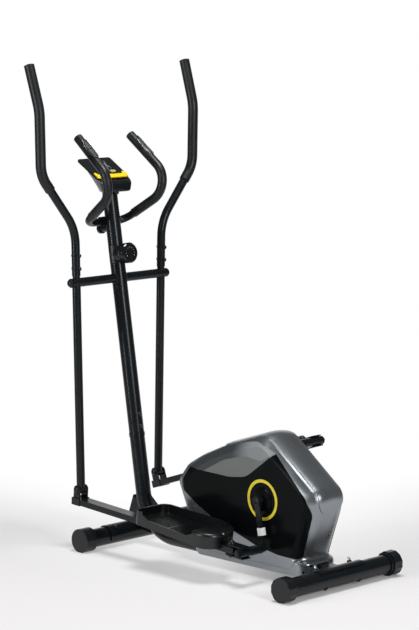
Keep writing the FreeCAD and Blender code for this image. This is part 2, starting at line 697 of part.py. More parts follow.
def upper_arm(side):
    tube = solid(swept(arm_path(side), [S.arm_low_bend, S.arm_mid_bend, S.arm_low_bend],
                       S.arm_radius, S.arm_radius - S.arm_wall))
    holes = [rod(S.bolt_radius + 0.2, -30, 30, z=z, along="X") for z in (S.arm_bolt_low, S.arm_bolt_high)]
    return cut(tube, *holes)


def arm_grip(side):
    """The foam sleeve, from part way up the slanting run to the top."""
    share = num(S.grip_start_out) / num(S.arm_out)
    run = num(S.arm_straight_height) - num(S.arm_bend_height)
    start = (0, num(S.grip_start_out) * side, num(S.arm_bend_height) + share * run)
    path = [start] + arm_path(side)[2:]
    return solid(swept(path, [S.arm_mid_bend, S.arm_low_bend], S.grip_radius, S.arm_radius + S.grip_gap))


def arm_cap(side):
    """A plastic plug in the arm's open top."""
    top = Vector(num(S.arm_top_forward), num(S.arm_out) * side, num(S.arm_top_height))
    below = Vector(0, num(S.arm_out) * side, num(S.arm_top_bend_height))
    cap = fuse(rod(S.arm_radius - S.arm_wall - 0.1, -15, 0.5, along="Z"),
               domed(S.grip_radius - 1, S.grip_plug_length, along="Z"))
    cap.Placement = Placement(top, Rotation(Vector(0, 0, 1), top - below))
    return cap


def arm_bolts():
    """Two bolts across the arm's socket: round heads in front, domed nuts behind."""
    pieces = []
    for z in (S.arm_bolt_low, S.arm_bolt_high):
        shaft = rod(S.bolt_radius, -S.arm_radius - 3, S.arm_radius + 1, z=z, along="X")
        head = domed(S.dome_radius, 5, x=S.arm_radius, z=z, along="X")
        nut = rod(S.dome_radius - 1, -S.arm_radius - 5, -S.arm_radius, z=z, along="X")
        dome = domed(S.dome_radius - 1.5, 5, x=-S.arm_radius - 5, z=z, along="X", flip=True)
        pieces.append(fuse(shaft, head, nut, dome))
    return pieces


def arm_side(item, side):
    return item if side > 0 else mirrored(item)


for name, side in (("left", 1), ("right", -1)):
    frame = arm_frame(side)
    node(name + "_lower_arm", arm_side(lower_arm(), side), frame)
    node(name + "_arm_bushes", arm_side(arm_bushes(), side), frame)
    node(name + "_upper_arm", upper_arm(side), frame)
    node(name + "_arm_grip", arm_grip(side), frame)
    node(name + "_arm_fittings", group(arm_cap(side), *arm_bolts()), frame)


# ---------------------------------------------------------------- pedal bars

def pedal_bar():
    half = S.bar_width / 2
    tall = S.bar_height / 2
    wall = S.bar_wall
    tube = cut(block((S.bar_rear, S.bar_front), (-1 * half, half), (-1 * tall, tall)),
               block((S.bar_rear - 1, S.bar_front + 1), (wall - half, half - wall), (wall - tall, tall - wall)))
    spacer = rod(S.hinge_bolt_radius + 3, -1 * tall, tall, S.hinge_bolt_x, 0, along="Z")
    ears = []
    for way in (1, -1):
        low, high = S.ear_gap / 2 * way, (S.ear_gap / 2 + S.ear_plate) * way
        span = (low, high) if way > 0 else (high, low)
        plate = block((S.bar_reach - S.ear_width / 2, S.bar_reach + S.ear_width / 2), span,
                      (tall - 0.5, S.pivot_rise))
        ears += [plate, rod(S.ear_width / 2, span[0], span[1], S.bar_reach, 0, S.pivot_rise)]
    pin = rod(S.pin_radius + S.running_gap, -40, 40, S.bar_reach, 0, S.pivot_rise)
    hinge = rod(S.hinge_bolt_radius + S.running_gap, -20, 20, S.hinge_bolt_x, 0, along="Z")
    return cut(fuse(tube, spacer, *ears, *pedal_mounts()), pin, hinge)


def bar_cap():
    """A plastic sleeve over the bar's front end, slotted for the two ears."""
    half = S.bar_width / 2 + S.plug_wall
    tall = S.bar_height / 2 + S.plug_wall
    gap = S.plug_wall - 0.2
    start, end = S.bar_front - S.plug_length + S.plug_end, S.bar_front + S.plug_end
    cap = cut(block((start, end), (-1 * half, half), (-1 * tall, tall)),
              block((start - 1, S.bar_front + 0.2), (gap - half, half - gap), (gap - tall, tall - gap)))
    ears = S.ear_gap / 2 + S.ear_plate + 0.3
    return cut(cap, block((start - 1, S.bar_reach + S.ear_width / 2 + 0.3), (-1 * ears, ears), (0, 20)))


def joint_sleeve(side):
    """The sleeve on the crank pin, with a plate above and below that hold the bar's rear end."""
    inner, outer = S.sleeve_inner_y - S.arm_plane_y, S.sleeve_outer_y - S.arm_plane_y
    half = S.joint_width / 2
    plates = []
    for way in (1, -1):
        near, far = S.joint_sleeve_radius * way, (S.joint_sleeve_radius + S.joint_plate) * way
        span = (near, far) if way > 0 else (far, near)
        plates.append(block((S.joint_plate_back * -1, S.joint_plate_reach - half), (-1 * half, half), span))
        plates.append(rod(half, span[0], span[1], S.joint_plate_reach - half, 0, along="Z"))
    web = block((-4, 4), (-1 * half, half), (-S.joint_sleeve_radius - 1, S.joint_sleeve_radius + 1))
    bore = rod(S.pin_shaft_radius + S.running_gap, inner - 1, outer + 1)
    hinge = rod(S.hinge_bolt_radius + S.running_gap, -30, 30, S.hinge_bolt_x, 0, along="Z")
    sleeve = cut(fuse(rod(S.joint_sleeve_radius, inner, outer), web, *plates), bore, hinge)
    return arm_side(sleeve, side)


def hinge_bolt():
    """The upright bolt that lets the bar swivel a little, with washers beside the tube."""
    face = S.joint_sleeve_radius + S.joint_plate
    shaft = rod(S.hinge_bolt_radius, -1 * face - 2, face + 2, S.hinge_bolt_x, 0, along="Z")
    top = domed(S.joint_dome_radius, S.joint_dome_height, S.hinge_bolt_x, 0, face, along="Z")
    bottom = domed(S.joint_dome_radius - 2, S.joint_dome_height, S.hinge_bolt_x, 0, -1 * face, along="Z",
                   flip=True)
    washers = []
    tall = S.bar_height / 2
    for low, high in ((tall, S.joint_sleeve_radius), (-S.joint_sleeve_radius, -1 * tall)):
        washers.append(rod(S.joint_dome_radius, low, high, S.hinge_bolt_x, 0, along="Z"))
    return fuse(shaft, top, bottom, *washers)


def pin_bolt(side):
    """The crank pin's shaft, with its shoulder washer at the crank and its nut at the outer end."""
    start = S.crank_inner_y + S.crank_thickness + S.pin_clearance - S.arm_plane_y
    seat = S.sleeve_inner_y - S.arm_plane_y
    end = S.sleeve_outer_y - S.arm_plane_y
    shaft = rod(S.pin_shaft_radius, start, end + S.pin_nut_length)
    washer = rod(S.joint_sleeve_radius - 1.5, start, seat)
    outer = rod(S.joint_sleeve_radius - 1, end, end + 2)
    nut = prism(6, S.pin_shaft_radius + 4, S.pin_nut_length - 3)
    place(nut, 0, end + 2, 0, TURNS["Y"])
    return arm_side(fuse(shaft, washer, outer, nut), side)


def pivot_bolt():
    """The bolt through the ears and the arm's lower bush, with a domed cap over each end."""
    half = S.ear_gap / 2 + S.ear_plate
    shaft = rod(S.pin_radius, -1 * half - 3, half + 3, S.bar_reach, 0, S.pivot_rise)
    domes = [domed(S.big_dome_radius, S.big_dome_height, S.bar_reach, half * way, S.pivot_rise, flip=way < 0)
             for way in (1, -1)]
    return fuse(shaft, *domes)


# ---------------------------------------------------------------- footplates

def tray_outline(inset):
    """The footplate seen from above, with its big rounded heel; inset moves every side inwards."""
    gap = num(inset)
    long_side = num(S.pedal_length) - gap
    inner, outer = gap - num(S.pedal_inner), num(S.pedal_outer) - gap
    corners = [(gap, inner), (long_side, inner), (long_side, outer), (gap, outer)]
    heel, toe = num(S.heel_radius) - gap, num(S.toe_radius) - gap
    radii = [heel, toe, toe, heel]
    flat = rounded_outline(corners, radii)
    flat.rotate(Vector(), Vector(1, 0, 0), 90)
    return flat


def tray_block(inset, low, high):
    face = Part.Face(tray_outline(inset))
    face.translate(Vector(0, 0, num(low)))
    piece = face.extrude(Vector(0, 0, num(high) - num(low)))
    return solid(piece)


def heel_block(top):
    """A block with a round top that fills the tray behind the heel of the shoe."""
    end, high = num(S.heel_block), num(S.heel_top)
    profile = rounded_outline([(-5, -5), (end, -5), (end, high - 12), (end - 14, high), (14, high - 2), (-5, high - 14)],
                              [0, 0, 10, 20, 20, 0])
    slab = Part.Face(profile).extrude(Vector(0, 400, 0))
    slab.translate(Vector(0, -200, 0))
    return common(tray_block(1, top - 1, S.pedal_heel_height), solid(slab))


def pedal(side):
    """A moulded tray: high inner wall, round heel block, raised toe and a low outer side to step over."""
    heel, toe, length = S.pedal_heel_height, S.pedal_toe_height, S.pedal_length
    top = S.pedal_skirt + S.pedal_floor
    block_end = S.heel_block
    body = tray_block(0, 0, heel)
    well = tray_block(S.pedal_wall, top, heel + 1)
    under = tray_block(S.pedal_wall, -1, S.pedal_skirt)
    slope = padded("XZ", [(-5, heel + 20), (-5, heel - 20), (block_end - 40, heel - 5), (block_end, heel),
                          (length + 5, toe), (length + 5, heel + 20)], 400, middle=True)
    step = padded("XZ", [(-9, heel + 20), (-9, S.heel_top - 15), (10, S.heel_top - 3), (block_end - 14, S.heel_top - 1),
                         (block_end + 8, S.pedal_lip), (length - 70, S.pedal_lip),
                         (length - 45, toe - 6), (length - 35, heel + 20)], S.pedal_outer + 60, back=True)
    place(step, 0, S.pedal_wall - S.pedal_inner + 22, 0)
    bar_slot = block((-20, length + 20), (S.bar_width / -2 - 1, S.bar_width / 2 + 1), (-30, S.pedal_skirt))
    ribs = []
    for row in range(11):
        for start in (block_end + 10, length - 135):
            low = start + S.rib_pitch * row
            ribs.append(block((low, low + S.rib_width), (S.pedal_inner * -1 + 18, S.pedal_outer - 18),
                              (top - 0.5, top + S.rib_height)))
    tray = cut(fuse(cut(body, well, under, slope, step), heel_block(top), *ribs), bar_slot)
    bolts = [rod(S.pedal_bolt_radius + 0.2, 0, 40, x, 0, along="Z") for x in (110, length - 80)]
    tray = cut(tray, *bolts)
    return arm_side(tray, side)


def pedal_frame():
    """Where the tray sits on its bar: its floor meets the tube at the rear and rises to the front."""
    tilt = Rotation(Vector(0, 1, 0), -num(S.pedal_tilt))
    lift = num(S.bar_height) / 2 + num(S.pedal_gap) - num(S.pedal_skirt)
    return Placement(Vector(num(S.pedal_rear), 0, lift), tilt)


def pedal_mounts():
    """Brackets welded on the bar that carry the floor of the tray as it rises to the front."""
    tilt = math.radians(num(S.pedal_tilt))
    pieces = []
    for along in (110, num(S.pedal_length) - 80):
        x = num(S.pedal_rear) + along * math.cos(tilt)
        floor = num(S.bar_height) / 2 + num(S.pedal_gap) + along * math.sin(tilt)
        low, high = x - 16, x + 16
        drop = 16 * math.tan(tilt)
        foot = num(S.bar_height) / 2 - 1
        points = [(low, foot), (high, foot),
                  (high, floor + drop - 0.3), (low, floor - drop - 0.3)]
        pieces.append(padded("XZ", points, S.bar_width - 6, middle=True))
    return pieces


for name, side in (("left", 1), ("right", -1)):
    frame = bar_frame(side)
    node(name + "_pedal_bar", pedal_bar(), frame)
    node(name + "_bar_cap", bar_cap(), frame)
    node(name + "_joint_sleeve", joint_sleeve(side), frame)
    node(name + "_bar_bolts", group(hinge_bolt(), pin_bolt(side), pivot_bolt()), frame)
    node(name + "_pedal", pedal(side), frame.multiply(pedal_frame()))


# ---------------------------------------------------------------- cranks and drive

CRANK_OUTER = S.crank_inner_y + S.crank_thickness


def crank(side):
    """One crank arm, hanging down on the left side; the right one is turned half round."""
    throw = S.crank_throw
    web = padded("XZ", [(S.crank_hub_radius * -1 + 3, 0), (S.crank_hub_radius - 3, 0),
                        (S.crank_eye_radius - 3.5, throw * -1), (3.5 - S.crank_eye_radius, throw * -1)],
                 S.crank_thickness - 3, back=True)
    place(web, 0, S.crank_inner_y + 1.5, 0)
    hub = rod(S.crank_hub_radius, S.crank_inner_y - 6, CRANK_OUTER)
    eye = rod(S.crank_eye_radius, S.crank_inner_y, CRANK_OUTER, z=throw * -1)
    half = S.crank_square / 2 + S.running_gap
    hole = block((-1 * half, half), (S.crank_inner_y - 20, CRANK_OUTER + 5), (-1 * half, half))
    item = cut(fuse(web, hub, eye), hole)
    return item if side > 0 else turned_over(item)


def turned_over(item):
    """The same piece after half a turn about the fore and aft axis, so on the other side and opposite."""
    twin = group(item)
    twin.Placement = Placement(Vector(), Rotation(Vector(1, 0, 0), 180))
    return twin


def crank_axle():
    """The axle, with a square at each end for its crank."""
    shoulder = S.crank_inner_y - 6.3
    half = S.crank_square / 2
    end = CRANK_OUTER - 1
    squares = [block((-1 * half, half), (low, high), (-1 * half, half))
               for low, high in ((end * -1, 1 - shoulder), (shoulder - 1, end))]
    return fuse(rod(S.crank_axle_radius, shoulder * -1, shoulder), *squares)


def crank_nut(side):
    piece = fuse(rod(S.crank_square / 2 + 3, CRANK_OUTER, CRANK_OUTER + 1),
                 domed(S.crank_square / 2 + 2, 1.6, y=CRANK_OUTER + 1))
    return arm_side(piece, side)


def drive_pulley():
    """A belt wheel with a rim, a thin web with five holes, and a hub on the crank axle."""
    low, high = S.pulley_y - S.pulley_width / 2, S.pulley_y + S.pulley_width / 2
    rim = cut(rod(S.pulley_radius, low, high), rod(S.pulley_radius - S.pulley_rim, low - 1, high + 1))
    web = rod(S.pulley_radius - 1, S.pulley_y - S.pulley_web / 2, S.pulley_y + S.pulley_web / 2)
    hub = rod(S.crank_hub_radius + 6, low, high)
    holes = []
    for number in range(5):
        angle = math.radians(72 * number)
        reach = (S.pulley_radius + S.crank_hub_radius) / 2
        holes.append(rod(S.pulley_radius * 0.2, low - 1, high + 1, reach * math.cos(angle), 0,
                         reach * math.sin(angle)))
    return cut(fuse(rim, web, hub), rod(S.crank_axle_radius + S.running_gap, low - 1, high + 1), *holes)


def crank_bearing(side):
    start = S.shell_half - S.bearing_width
    race = cut(rod(S.bearing_radius, start, S.shell_half),
               rod(S.crank_axle_radius + S.running_gap, start - 1, S.shell_half + 1))
    return arm_side(race, side)


def flywheel():
    """A heavy rim on a thinner disc."""
    half = S.flywheel_width / 2
    rim = cut(rod(S.flywheel_radius, -1 * half, half),
              rod(S.flywheel_radius - 24, -1 * half - 1, half + 1))
    disc = rod(S.flywheel_radius - 22, -1 * half / 2, half / 2)
    hub = rod(S.flywheel_axle_radius + 12, -1 * half, half)
    return cut(fuse(rim, disc, hub), rod(S.flywheel_axle_radius + S.running_gap, -40, 40))


def flywheel_axle():
    """The axle in the fork, with the small belt wheel on its end."""
    low, high = S.pulley_y - S.pulley_width / 2, S.pulley_y + S.pulley_width / 2
    start = S.fork_gap / -2 - S.fork_plate - 4
    return fuse(rod(S.flywheel_axle_radius, start, high), rod(S.small_pulley_radius, low, high))


def belt_loop(grow, width):
    """The belt's run round both wheels, as a band that stands off the wheels by grow."""
    big, small = num(S.pulley_radius) + grow, num(S.small_pulley_radius) + grow
    ax, az = num(S.crank_x), num(S.crank_z)
    bx, bz = num(S.flywheel_x), num(S.flywheel_z)
    slope = math.atan2(bz - az, bx - ax)
    wrap = math.acos((big - small) / math.hypot(bx - ax, bz - az))
    spots = []
    for x, z, radius in ((ax, az, big), (bx, bz, small)):
        for way in (1, -1):
            angle = slope + way * wrap
            spots.append(Vector(x + radius * math.cos(angle), 0, z + radius * math.sin(angle)))
    back = Vector(ax - big * math.cos(slope), 0, az - big * math.sin(slope))
    front = Vector(bx + small * math.cos(slope), 0, bz + small * math.sin(slope))
    edges = [Part.Arc(spots[1], back, spots[0]), Part.LineSegment(spots[0], spots[2]),
             Part.Arc(spots[2], front, spots[3]), Part.LineSegment(spots[3], spots[1])]
    face = Part.Face(Part.Wire([edge.toShape() for edge in edges]))
    face.translate(Vector(0, num(S.pulley_y) - width / 2, 0))
    return face.extrude(Vector(0, width, 0))


def drive_belt():
    gap, thick, width = num(S.belt_gap), num(S.belt_thickness), num(S.belt_width)
    return solid(belt_loop(gap + thick, width).cut(belt_loop(gap, width + 2)))


def magnet_bracket():
    """A curved arm of magnets behind the flywheel's rim, hung from a pin between the fork plates."""
    inner = S.flywheel_radius + S.magnet_gap
    arc = bind(fresh("Part::Cylinder"), Radius=inner + S.magnet_plate, Height=S.magnet_width, Angle=75)
    core = bind(fresh("Part::Cylinder"), Radius=inner, Height=S.magnet_width + 2)
    core.Placement.Base = Vector(0, 0, -1)
    band = cut(arc, core)
    turn = Rotation(Vector(1, 0, 0), 90).multiply(Rotation(Vector(0, 0, 1), 88))
    band.Placement = Placement(Vector(0, num(S.magnet_width) / 2, 0), turn)
    half = S.magnet_width / 2
    eye = rod(S.pin_radius + 4, -1 * half, half, z=inner + 12)
    lug = block((-9, 5), (-1 * half, half), (inner + 0.5, inner + 12))
    pin = rod(S.pin_radius - S.running_gap, S.fork_gap / -2 - S.fork_plate, S.fork_gap / 2 + S.fork_plate,
              z=inner + 12)
    return fuse(band, eye, lug, pin)


crank_spot = crank_frame()
node("crank_axle", crank_axle(), crank_spot)
node("left_crank", crank(1), crank_spot)
node("right_crank", crank(-1), crank_spot)
node("crank_nuts", group(crank_nut(1), crank_nut(-1)), crank_spot)
node("drive_pulley", drive_pulley(), crank_spot)
node("crank_bearings", place(group(crank_bearing(1), crank_bearing(-1)), S.crank_x, 0, S.crank_z))
node("flywheel", place(group(flywheel()), S.flywheel_x, 0, S.flywheel_z))
node("flywheel_axle", place(group(flywheel_axle()), S.flywheel_x, 0, S.flywheel_z))
node("drive_belt", drive_belt())
node("magnet_bracket", place(group(magnet_bracket()), S.flywheel_x, 0, S.flywheel_z))


# ---------------------------------------------------------------- drive cover

# The cover's side outline at the middle: x from the crank axle, z, corner radius, then how far each corner follows the
# rounding of the nose, of the tail and of the crown, and how much of the top chamfer it takes.
COVER = [
    (312, 31, 14, 1.0, 0.0, 0, 0.0),
    (356, 166, 60, 1.0, 0.0, 0, 0.3),
    (395, 254, 26, 1.0, 0.0, 0, 0.6),
    (352, 307, 30, 0.7, 0.0, 1, 1.0),
    (288, 346, 200, 0.3, 0.0, 1, 1.0),
    (185, 392, 300, 0.0, 0.0, 1, 1.0),
    (3, 450, 60, 0.0, 0.0, 1, 1.0),
    (-227, 280, 45, 0.0, 1.0, 1, 0.2),
    (-156, 82, 12, 0.0, 1.0, 0, 0.0),
    (-180, 72, 8, 0.0, 1.0, 0, 0.0),
    (-181, 31, 4, 0.0, 1.0, 0, 0.0),
]


def bow(radius, y):
    """How far a rounded end stands back at y from where it is at the shoulder."""
    limit = 0.98 * num(radius)
    edge = min(num(S.shoulder_y), limit)
    y = min(y, limit)
    return math.sqrt(num(radius) ** 2 - edge ** 2) - math.sqrt(num(radius) ** 2 - y ** 2)


def tail_round(y, inset):
    """How far the rear stands forward at y: it is flat across the middle, then turns a round corner."""
    radius = num(S.tail_radius) - inset
    past = min(max(0.0, y - num(S.tail_flat)), 0.998 * radius)
    return radius - math.sqrt(radius ** 2 - past ** 2)


def inward(points, number, distance):
    """The corner moved inwards so that both sides beside it move in by the distance."""
    corner = points[number]
    before = (corner - points[number - 1]).normalize()
    after = (points[(number + 1) % len(points)] - corner).normalize()
    up = Vector(0, 1, 0)
    first, second = before.cross(up), after.cross(up)
    middle = (first + second).normalize()
    return corner + middle * (distance / middle.dot(first))


def cover_section(y, inset):
    """The cover's outline at one distance from the middle plane."""
    share = max(0.0, y - num(S.shoulder_y)) / (num(FACE) - num(S.shoulder_y))
    points = []
    for x, z, radius, nose, tail, crown, chamfer in COVER:
        x += num(S.crank_x)
        x += nose * bow(S.nose_radius, y) * -1 + tail * tail_round(y, inset)
        z -= crown * bow(S.crown_radius, y)
        points.append(Vector(x, 0, z))
    moved = [inward(points, number, inset + num(S.cover_chamfer) * share * row[6])
             for number, row in enumerate(COVER)]
    radii = [max(row[2] - inset, 1.5) for row in COVER]
    return rounded_outline([(point.x, point.z) for point in moved], radii, y)


def cover_solid(inset, outer):
    """The left half of the cover as a solid: rounded up to the shoulder, then chamfered on top."""
    shoulder = num(S.shoulder_y)
    middle = [cover_section(y, inset) for y in (0, num(S.tail_flat), 0.8 * shoulder, shoulder)]
    rim = [cover_section(shoulder + (outer - shoulder) * share, inset) for share in (0, 0.35, 0.65, 0.85, 1)]
    return Part.makeLoft(middle, True, False).fuse(Part.makeLoft(rim, True, False))


def spine():
    """The raised band along the crown and down the rear, which ends in a round tongue on the leg."""
    half, crank_x = num(S.spine_half), num(S.crank_x)
    apex_z, tongue = num(S.tongue_z), num(S.tongue_length)
    band = block((-700, crank_x + num(S.spine_front)), (-1, half), (apex_z, 600)).Shape
    tongue_end = Part.makeCylinder(half, 400, Vector(-700, 0, 0), Vector(1, 0, 0))
    stretch = FreeCAD.Matrix()
    stretch.scale(1, 1, tongue / half)
    tongue_end = tongue_end.transformGeometry(stretch)
    tongue_end.translate(Vector(0, 0, apex_z))
    region = band.fuse(tongue_end)
    return cover_solid(-num(S.spine_height), num(FACE)).common(region)


def lip(low, high, reach):
    """A flange round the foot of the leg, which follows its rounded rear."""
    rear = num(S.crank_x) + COVER[8][0] - reach
    depth, half = 60 + reach, num(FACE) - 6
    corner = num(S.tail_radius) - 4
    outline = rounded_outline([(rear, -half), (rear + depth, -half), (rear + depth, half), (rear, half)],
                              [corner, 0, 0, corner])
    outline.rotate(Vector(), Vector(1, 0, 0), 90)
    outline.translate(Vector(0, 0, low))
    return Part.Face(outline).extrude(Vector(0, 0, high - low))


def seam_groove():
    """The joint line between the side cover and the skirt below it."""
    x, z, wide = num(S.crank_x), num(S.cover_bottom) + num(S.skirt_height), num(S.seam_width)
    path = [(310, z + 12), (286, z), (-122, z), (-143, 92)]
    spots = [(along + x, up) for along, up in path]
    lower = [(along, up - wide) for along, up in spots[:3]] + [(spots[3][0] - wide, spots[3][1])]
    lower[2] = (lower[2][0] - wide, lower[2][1])
    outline = rounded_outline(spots + lower[::-1], [0, 8, 18, 0, 0, 18 + wide, 8 + wide, 0], 0)
    return Part.Face(outline).extrude(Vector(0, 100, 0))


def half_cover():
    wall = num(S.cover_wall)
    outer = cover_solid(0, num(FACE))
    inner = cover_solid(wall, num(FACE) - wall)
    inner.translate(Vector(0, -0.01, 0))
    outer = outer.fuse([spine(), lip(84, 87, 4).common(half_space()), lip(73, 78, 11).common(half_space())])
    groove = seam_groove().common(cover_solid(0, num(FACE)).cut(cover_solid(num(S.seam_width), num(FACE) - 1.2)))
    shell = solid(outer.cut(inner).cut(groove))
    tube = rod(S.base_tube_radius + 1, -700, 300, 0, 0, S.base_height, along="X")
    under = block((-700, 300), (-1, S.base_tube_radius + 1), (-20, S.base_height))
    rear = block((-700, S.rear_foot_x + 105), (-1, S.bridge_width / 2 + 1), (-20, 68))
    hub = rod(S.hub_hole_radius, FACE - 10, FACE + 10, S.crank_x, 0, S.crank_z)
    screws = [rod(S.screw_radius, low, low + 60, S.crank_x + x, 0, z) for x, z, low in SCREWS]
    return cut(shell, tube, under, rear, hub, *screws)


def half_space():
    return Part.makeBox(2000, 200, 1000, Vector(-1000, 0, 0))


def side_skin(corners, radii, *holes):
    """A thin plate that lies on the cover's side and follows its curve."""
    spots = [(x + num(S.crank_x), z) for x, z in corners]
    prism = Part.Face(rounded_outline(spots, radii, num(S.shoulder_y) - 5)).extrude(Vector(0, 60, 0))
    plate = solid(SKIN.common(prism))
    return cut(plate, *holes) if holes else plate


def both_sides(item):
    return group(item, mirrored(item))


PANEL = [(-48, 399), (-176, 283), (-200, 237), (-150, 85), (-66, 87), (32, 103), (225, 162), (294, 194),
         (356, 232), (366, 257), (335, 307), (144, 302), (72, 312)]
PANEL_RADII = [2, 40, 50, 8, 300, 0, 0, 200, 12, 12, 2, 200, 90]
TRIM = [(-48, 399), (23, 430), (74, 421), (170, 395), (268, 350), (335, 307), (261, 305), (170, 353),
        (74, 378), (8, 370)]
SWOOSH = [(-48, 399), (8, 370), (74, 378), (170, 353), (261, 305), (144, 302), (72, 312)]
SCREWS = [(-163, 46, 40), (-176, 66, 30), (-60, 400, 60)]
SKIN = cover_solid(-num(S.panel_thickness), num(S.cover_half)).cut(cover_solid(0, num(FACE)))

left_shell = half_cover()
node("left_housing", left_shell)
node("right_housing", mirrored(left_shell))

side_window = rod(S.ring_outer + 0.2, FACE - 5, FACE + 5, S.crank_x, 0, S.crank_z)
trim = side_skin(TRIM, [2, 70, 200, 200, 200, 2, 0, 150, 80, 30])
swoosh = side_skin(SWOOSH, [2, 30, 80, 150, 0, 200, 90], trim)
panel = side_skin(PANEL, PANEL_RADII, side_window, trim, swoosh)
node("side_panels", both_sides(panel))
node("side_trims", both_sides(trim))
node("side_swooshes", both_sides(swoosh))


def side_ring():
    """The coloured ring round the crank, flush with the side panel."""
    low, high = FACE, S.cover_half
    return cut(rod(S.ring_outer, low, high, S.crank_x, 0, S.crank_z),
               rod(S.ring_outer - S.ring_band, low - 1, high + 1, S.crank_x, 0, S.crank_z))


def hub_cover():
    """The disc inside the ring, with a low raised cover round the crank's hub."""
    low, high = FACE, S.cover_half
    disc = rod(S.ring_outer - S.ring_band - 0.1, low, high)
    boss = turned([(0, low), (S.hub_cover_radius, low), (S.hub_cover_radius, high + 1),
                   (S.hub_cover_radius - 5, high + S.hub_cover_height - 2),
                   (S.crank_hub_radius + 4, high + S.hub_cover_height), (0, high + S.hub_cover_height)])
    hole = rod(S.hub_hole_radius, low - 10, high + 20)
    item = cut(fuse(disc, boss), hole)
    return place(group(item), S.crank_x, 0, S.crank_z)


node("side_rings", both_sides(side_ring()))
node("hub_covers", both_sides(hub_cover()))


# ---------------------------------------------------------------- fixed handlebar

def handle_x():
    """The cross bar lies against the front of the mast."""
    x, z = mast_point((num(S.handle_z) - num(S.pivot_z)) / math.cos(math.radians(num(S.mast_lean))))
    stand = num(S.mast_radius) + num(S.bar_tube_radius) + num(S.handle_gap)
    return x + stand / math.cos(math.radians(num(S.mast_lean)))


def horn_points(side):
    """Corners of the handlebar from the middle of the cross bar to one tip."""
    x, z = handle_x(), num(S.handle_z)
    back = x - num(S.horn_back)
    rise = z + num(S.horn_rise)
    return [(x, 0, z), (x, num(S.horn_y) * side, z), (back, num(S.horn_back_y) * side, rise),
            (back + num(S.horn_reach), num(S.horn_tip_y) * side, rise + num(S.horn_lift))]


def handlebar():
    left, right = horn_points(1), horn_points(-1)
    path = left[:0:-1] + right[1:]
    radii = [S.horn_bend, S.handle_bend, S.handle_bend, S.horn_bend]
    return solid(swept(path, radii, S.bar_tube_radius, S.bar_tube_radius - S.tube_wall))


def handlebar_grip(side):
    """A foam sleeve from just behind the cross bar round to the tip, closed by a plug at the tip."""
    corner, back, tip = [Vector(*point) for point in horn_points(side)[1:]]
    start = corner + (back - corner).normalize() * num(S.foam_start)
    return swept([tuple(start), tuple(back), tuple(tip)], [S.horn_bend], S.foam_radius,
                 S.bar_tube_radius + S.grip_gap)


def horn_plug(side):
    """A plastic plug in the open tip."""
    back, tip = [Vector(*point) for point in horn_points(side)[2:]]
    plug = fuse(rod(S.bar_tube_radius - S.tube_wall - 0.1, -15, 0.5, along="Z"),
                domed(S.foam_radius - 1, S.grip_plug_length, along="Z"))
    plug.Placement = Placement(tip, Rotation(Vector(0, 0, 1), tip - back))
    return plug


def sensor_frame(side):
    """Z runs along the horn towards its tip, X stands out of the sensor; the origin is on the horn's axis."""
    back, tip = [Vector(*point) for point in horn_points(side)[2:]]
    aim = (tip - back).normalize()
    out = Vector(-aim.z, 0, aim.x)
    out = Rotation(aim, -num(S.sensor_turn) * side).multVec(out)
    turn = Rotation(out, aim.cross(out), aim, "ZXY")
    return Placement(tip - aim * num(S.sensor_drop), turn)


def oval_prism(half_length, half_width):
    """A pointed oval seen along X: two arcs that meet at its ends."""
    ends = [Vector(0, 0, -half_length), Vector(0, 0, half_length)]
    sides = [Part.Arc(ends[0], Vector(0, way * half_width, 0), ends[1]).toShape() for way in (1, -1)]
    return Part.Face(Part.Wire(sides)).extrude(Vector(60, 0, 0))


def sensor_shell(outer, reach, half_width):
    """The part of a sleeve round the grip that lies within a pointed oval."""
    inner = Part.makeCylinder(num(S.foam_radius) + 0.05, 400, Vector(0, 0, -200))
    sleeve = Part.makeCylinder(outer, 400, Vector(0, 0, -200)).cut(inner)
    return sleeve.common(oval_prism(reach, half_width))


def pulse_sensor(side):
    """Two contact plates, parted at the middle, which follow the round of the grip."""
    half, wide = num(S.sensor_length) / 2, num(S.sensor_width) / 2
    plate = sensor_shell(num(S.foam_radius) + 2.2, half, wide)
    plate = plate.cut(Part.makeBox(80, 80, 4, Vector(-10, -40, -2)))
    return carried(solid(plate), sensor_frame(side))


def sensor_bezel(side):
    """The raised rim that holds the contact plates, with a bar between them."""
    half, wide, rim = num(S.sensor_length) / 2, num(S.sensor_width) / 2, num(S.bezel_rim)
    ring = sensor_shell(num(S.foam_radius) + 3.2, half + rim, wide + rim / 2)
    ring = ring.cut(oval_prism(half + 0.2, wide + 0.1))
    bar = sensor_shell(num(S.foam_radius) + 2.6, half + 0.4, wide + 0.3)
    bar = bar.common(Part.makeBox(80, 80, 3.6, Vector(-10, -40, -1.8)))
    return carried(solid(ring.fuse(bar)), sensor_frame(side))


def handlebar_clamp():
    """A folded strap that holds the cross bar against the mast, with its round knob in front."""
    reach = S.mast_radius + S.bar_tube_radius + S.handle_gap
    half = S.clamp_width / 2
    lean = math.radians(num(S.mast_lean))
    rise = (num(S.handle_z) - num(S.pivot_z)) / math.cos(lean) + num(reach) * math.tan(lean)
    outer = S.bar_tube_radius + S.clamp_wall
    strap = fuse(rod(outer, -1 * half, half, x=reach, z=rise),
                 block((0, reach), (-1 * half, half), (rise - num(outer), rise + num(outer))))
    low = rise - S.clamp_knob_drop
    stem = rod(S.clamp_knob_radius - 4, 0, S.clamp_knob_reach - 10, z=low, along="X")
    knob = rod(S.clamp_knob_radius, S.clamp_knob_reach - 11, S.clamp_knob_reach, z=low, along="X")
    top = domed(S.clamp_knob_radius, 7, x=S.clamp_knob_reach, z=low, along="X")
    return cut(fuse(strap, stem, knob, top), rod(S.bar_tube_radius + S.grip_gap, -50, 50, x=reach, z=rise),
               rod(S.mast_radius + 0.1, rise - 60, rise + 60, along="Z"))


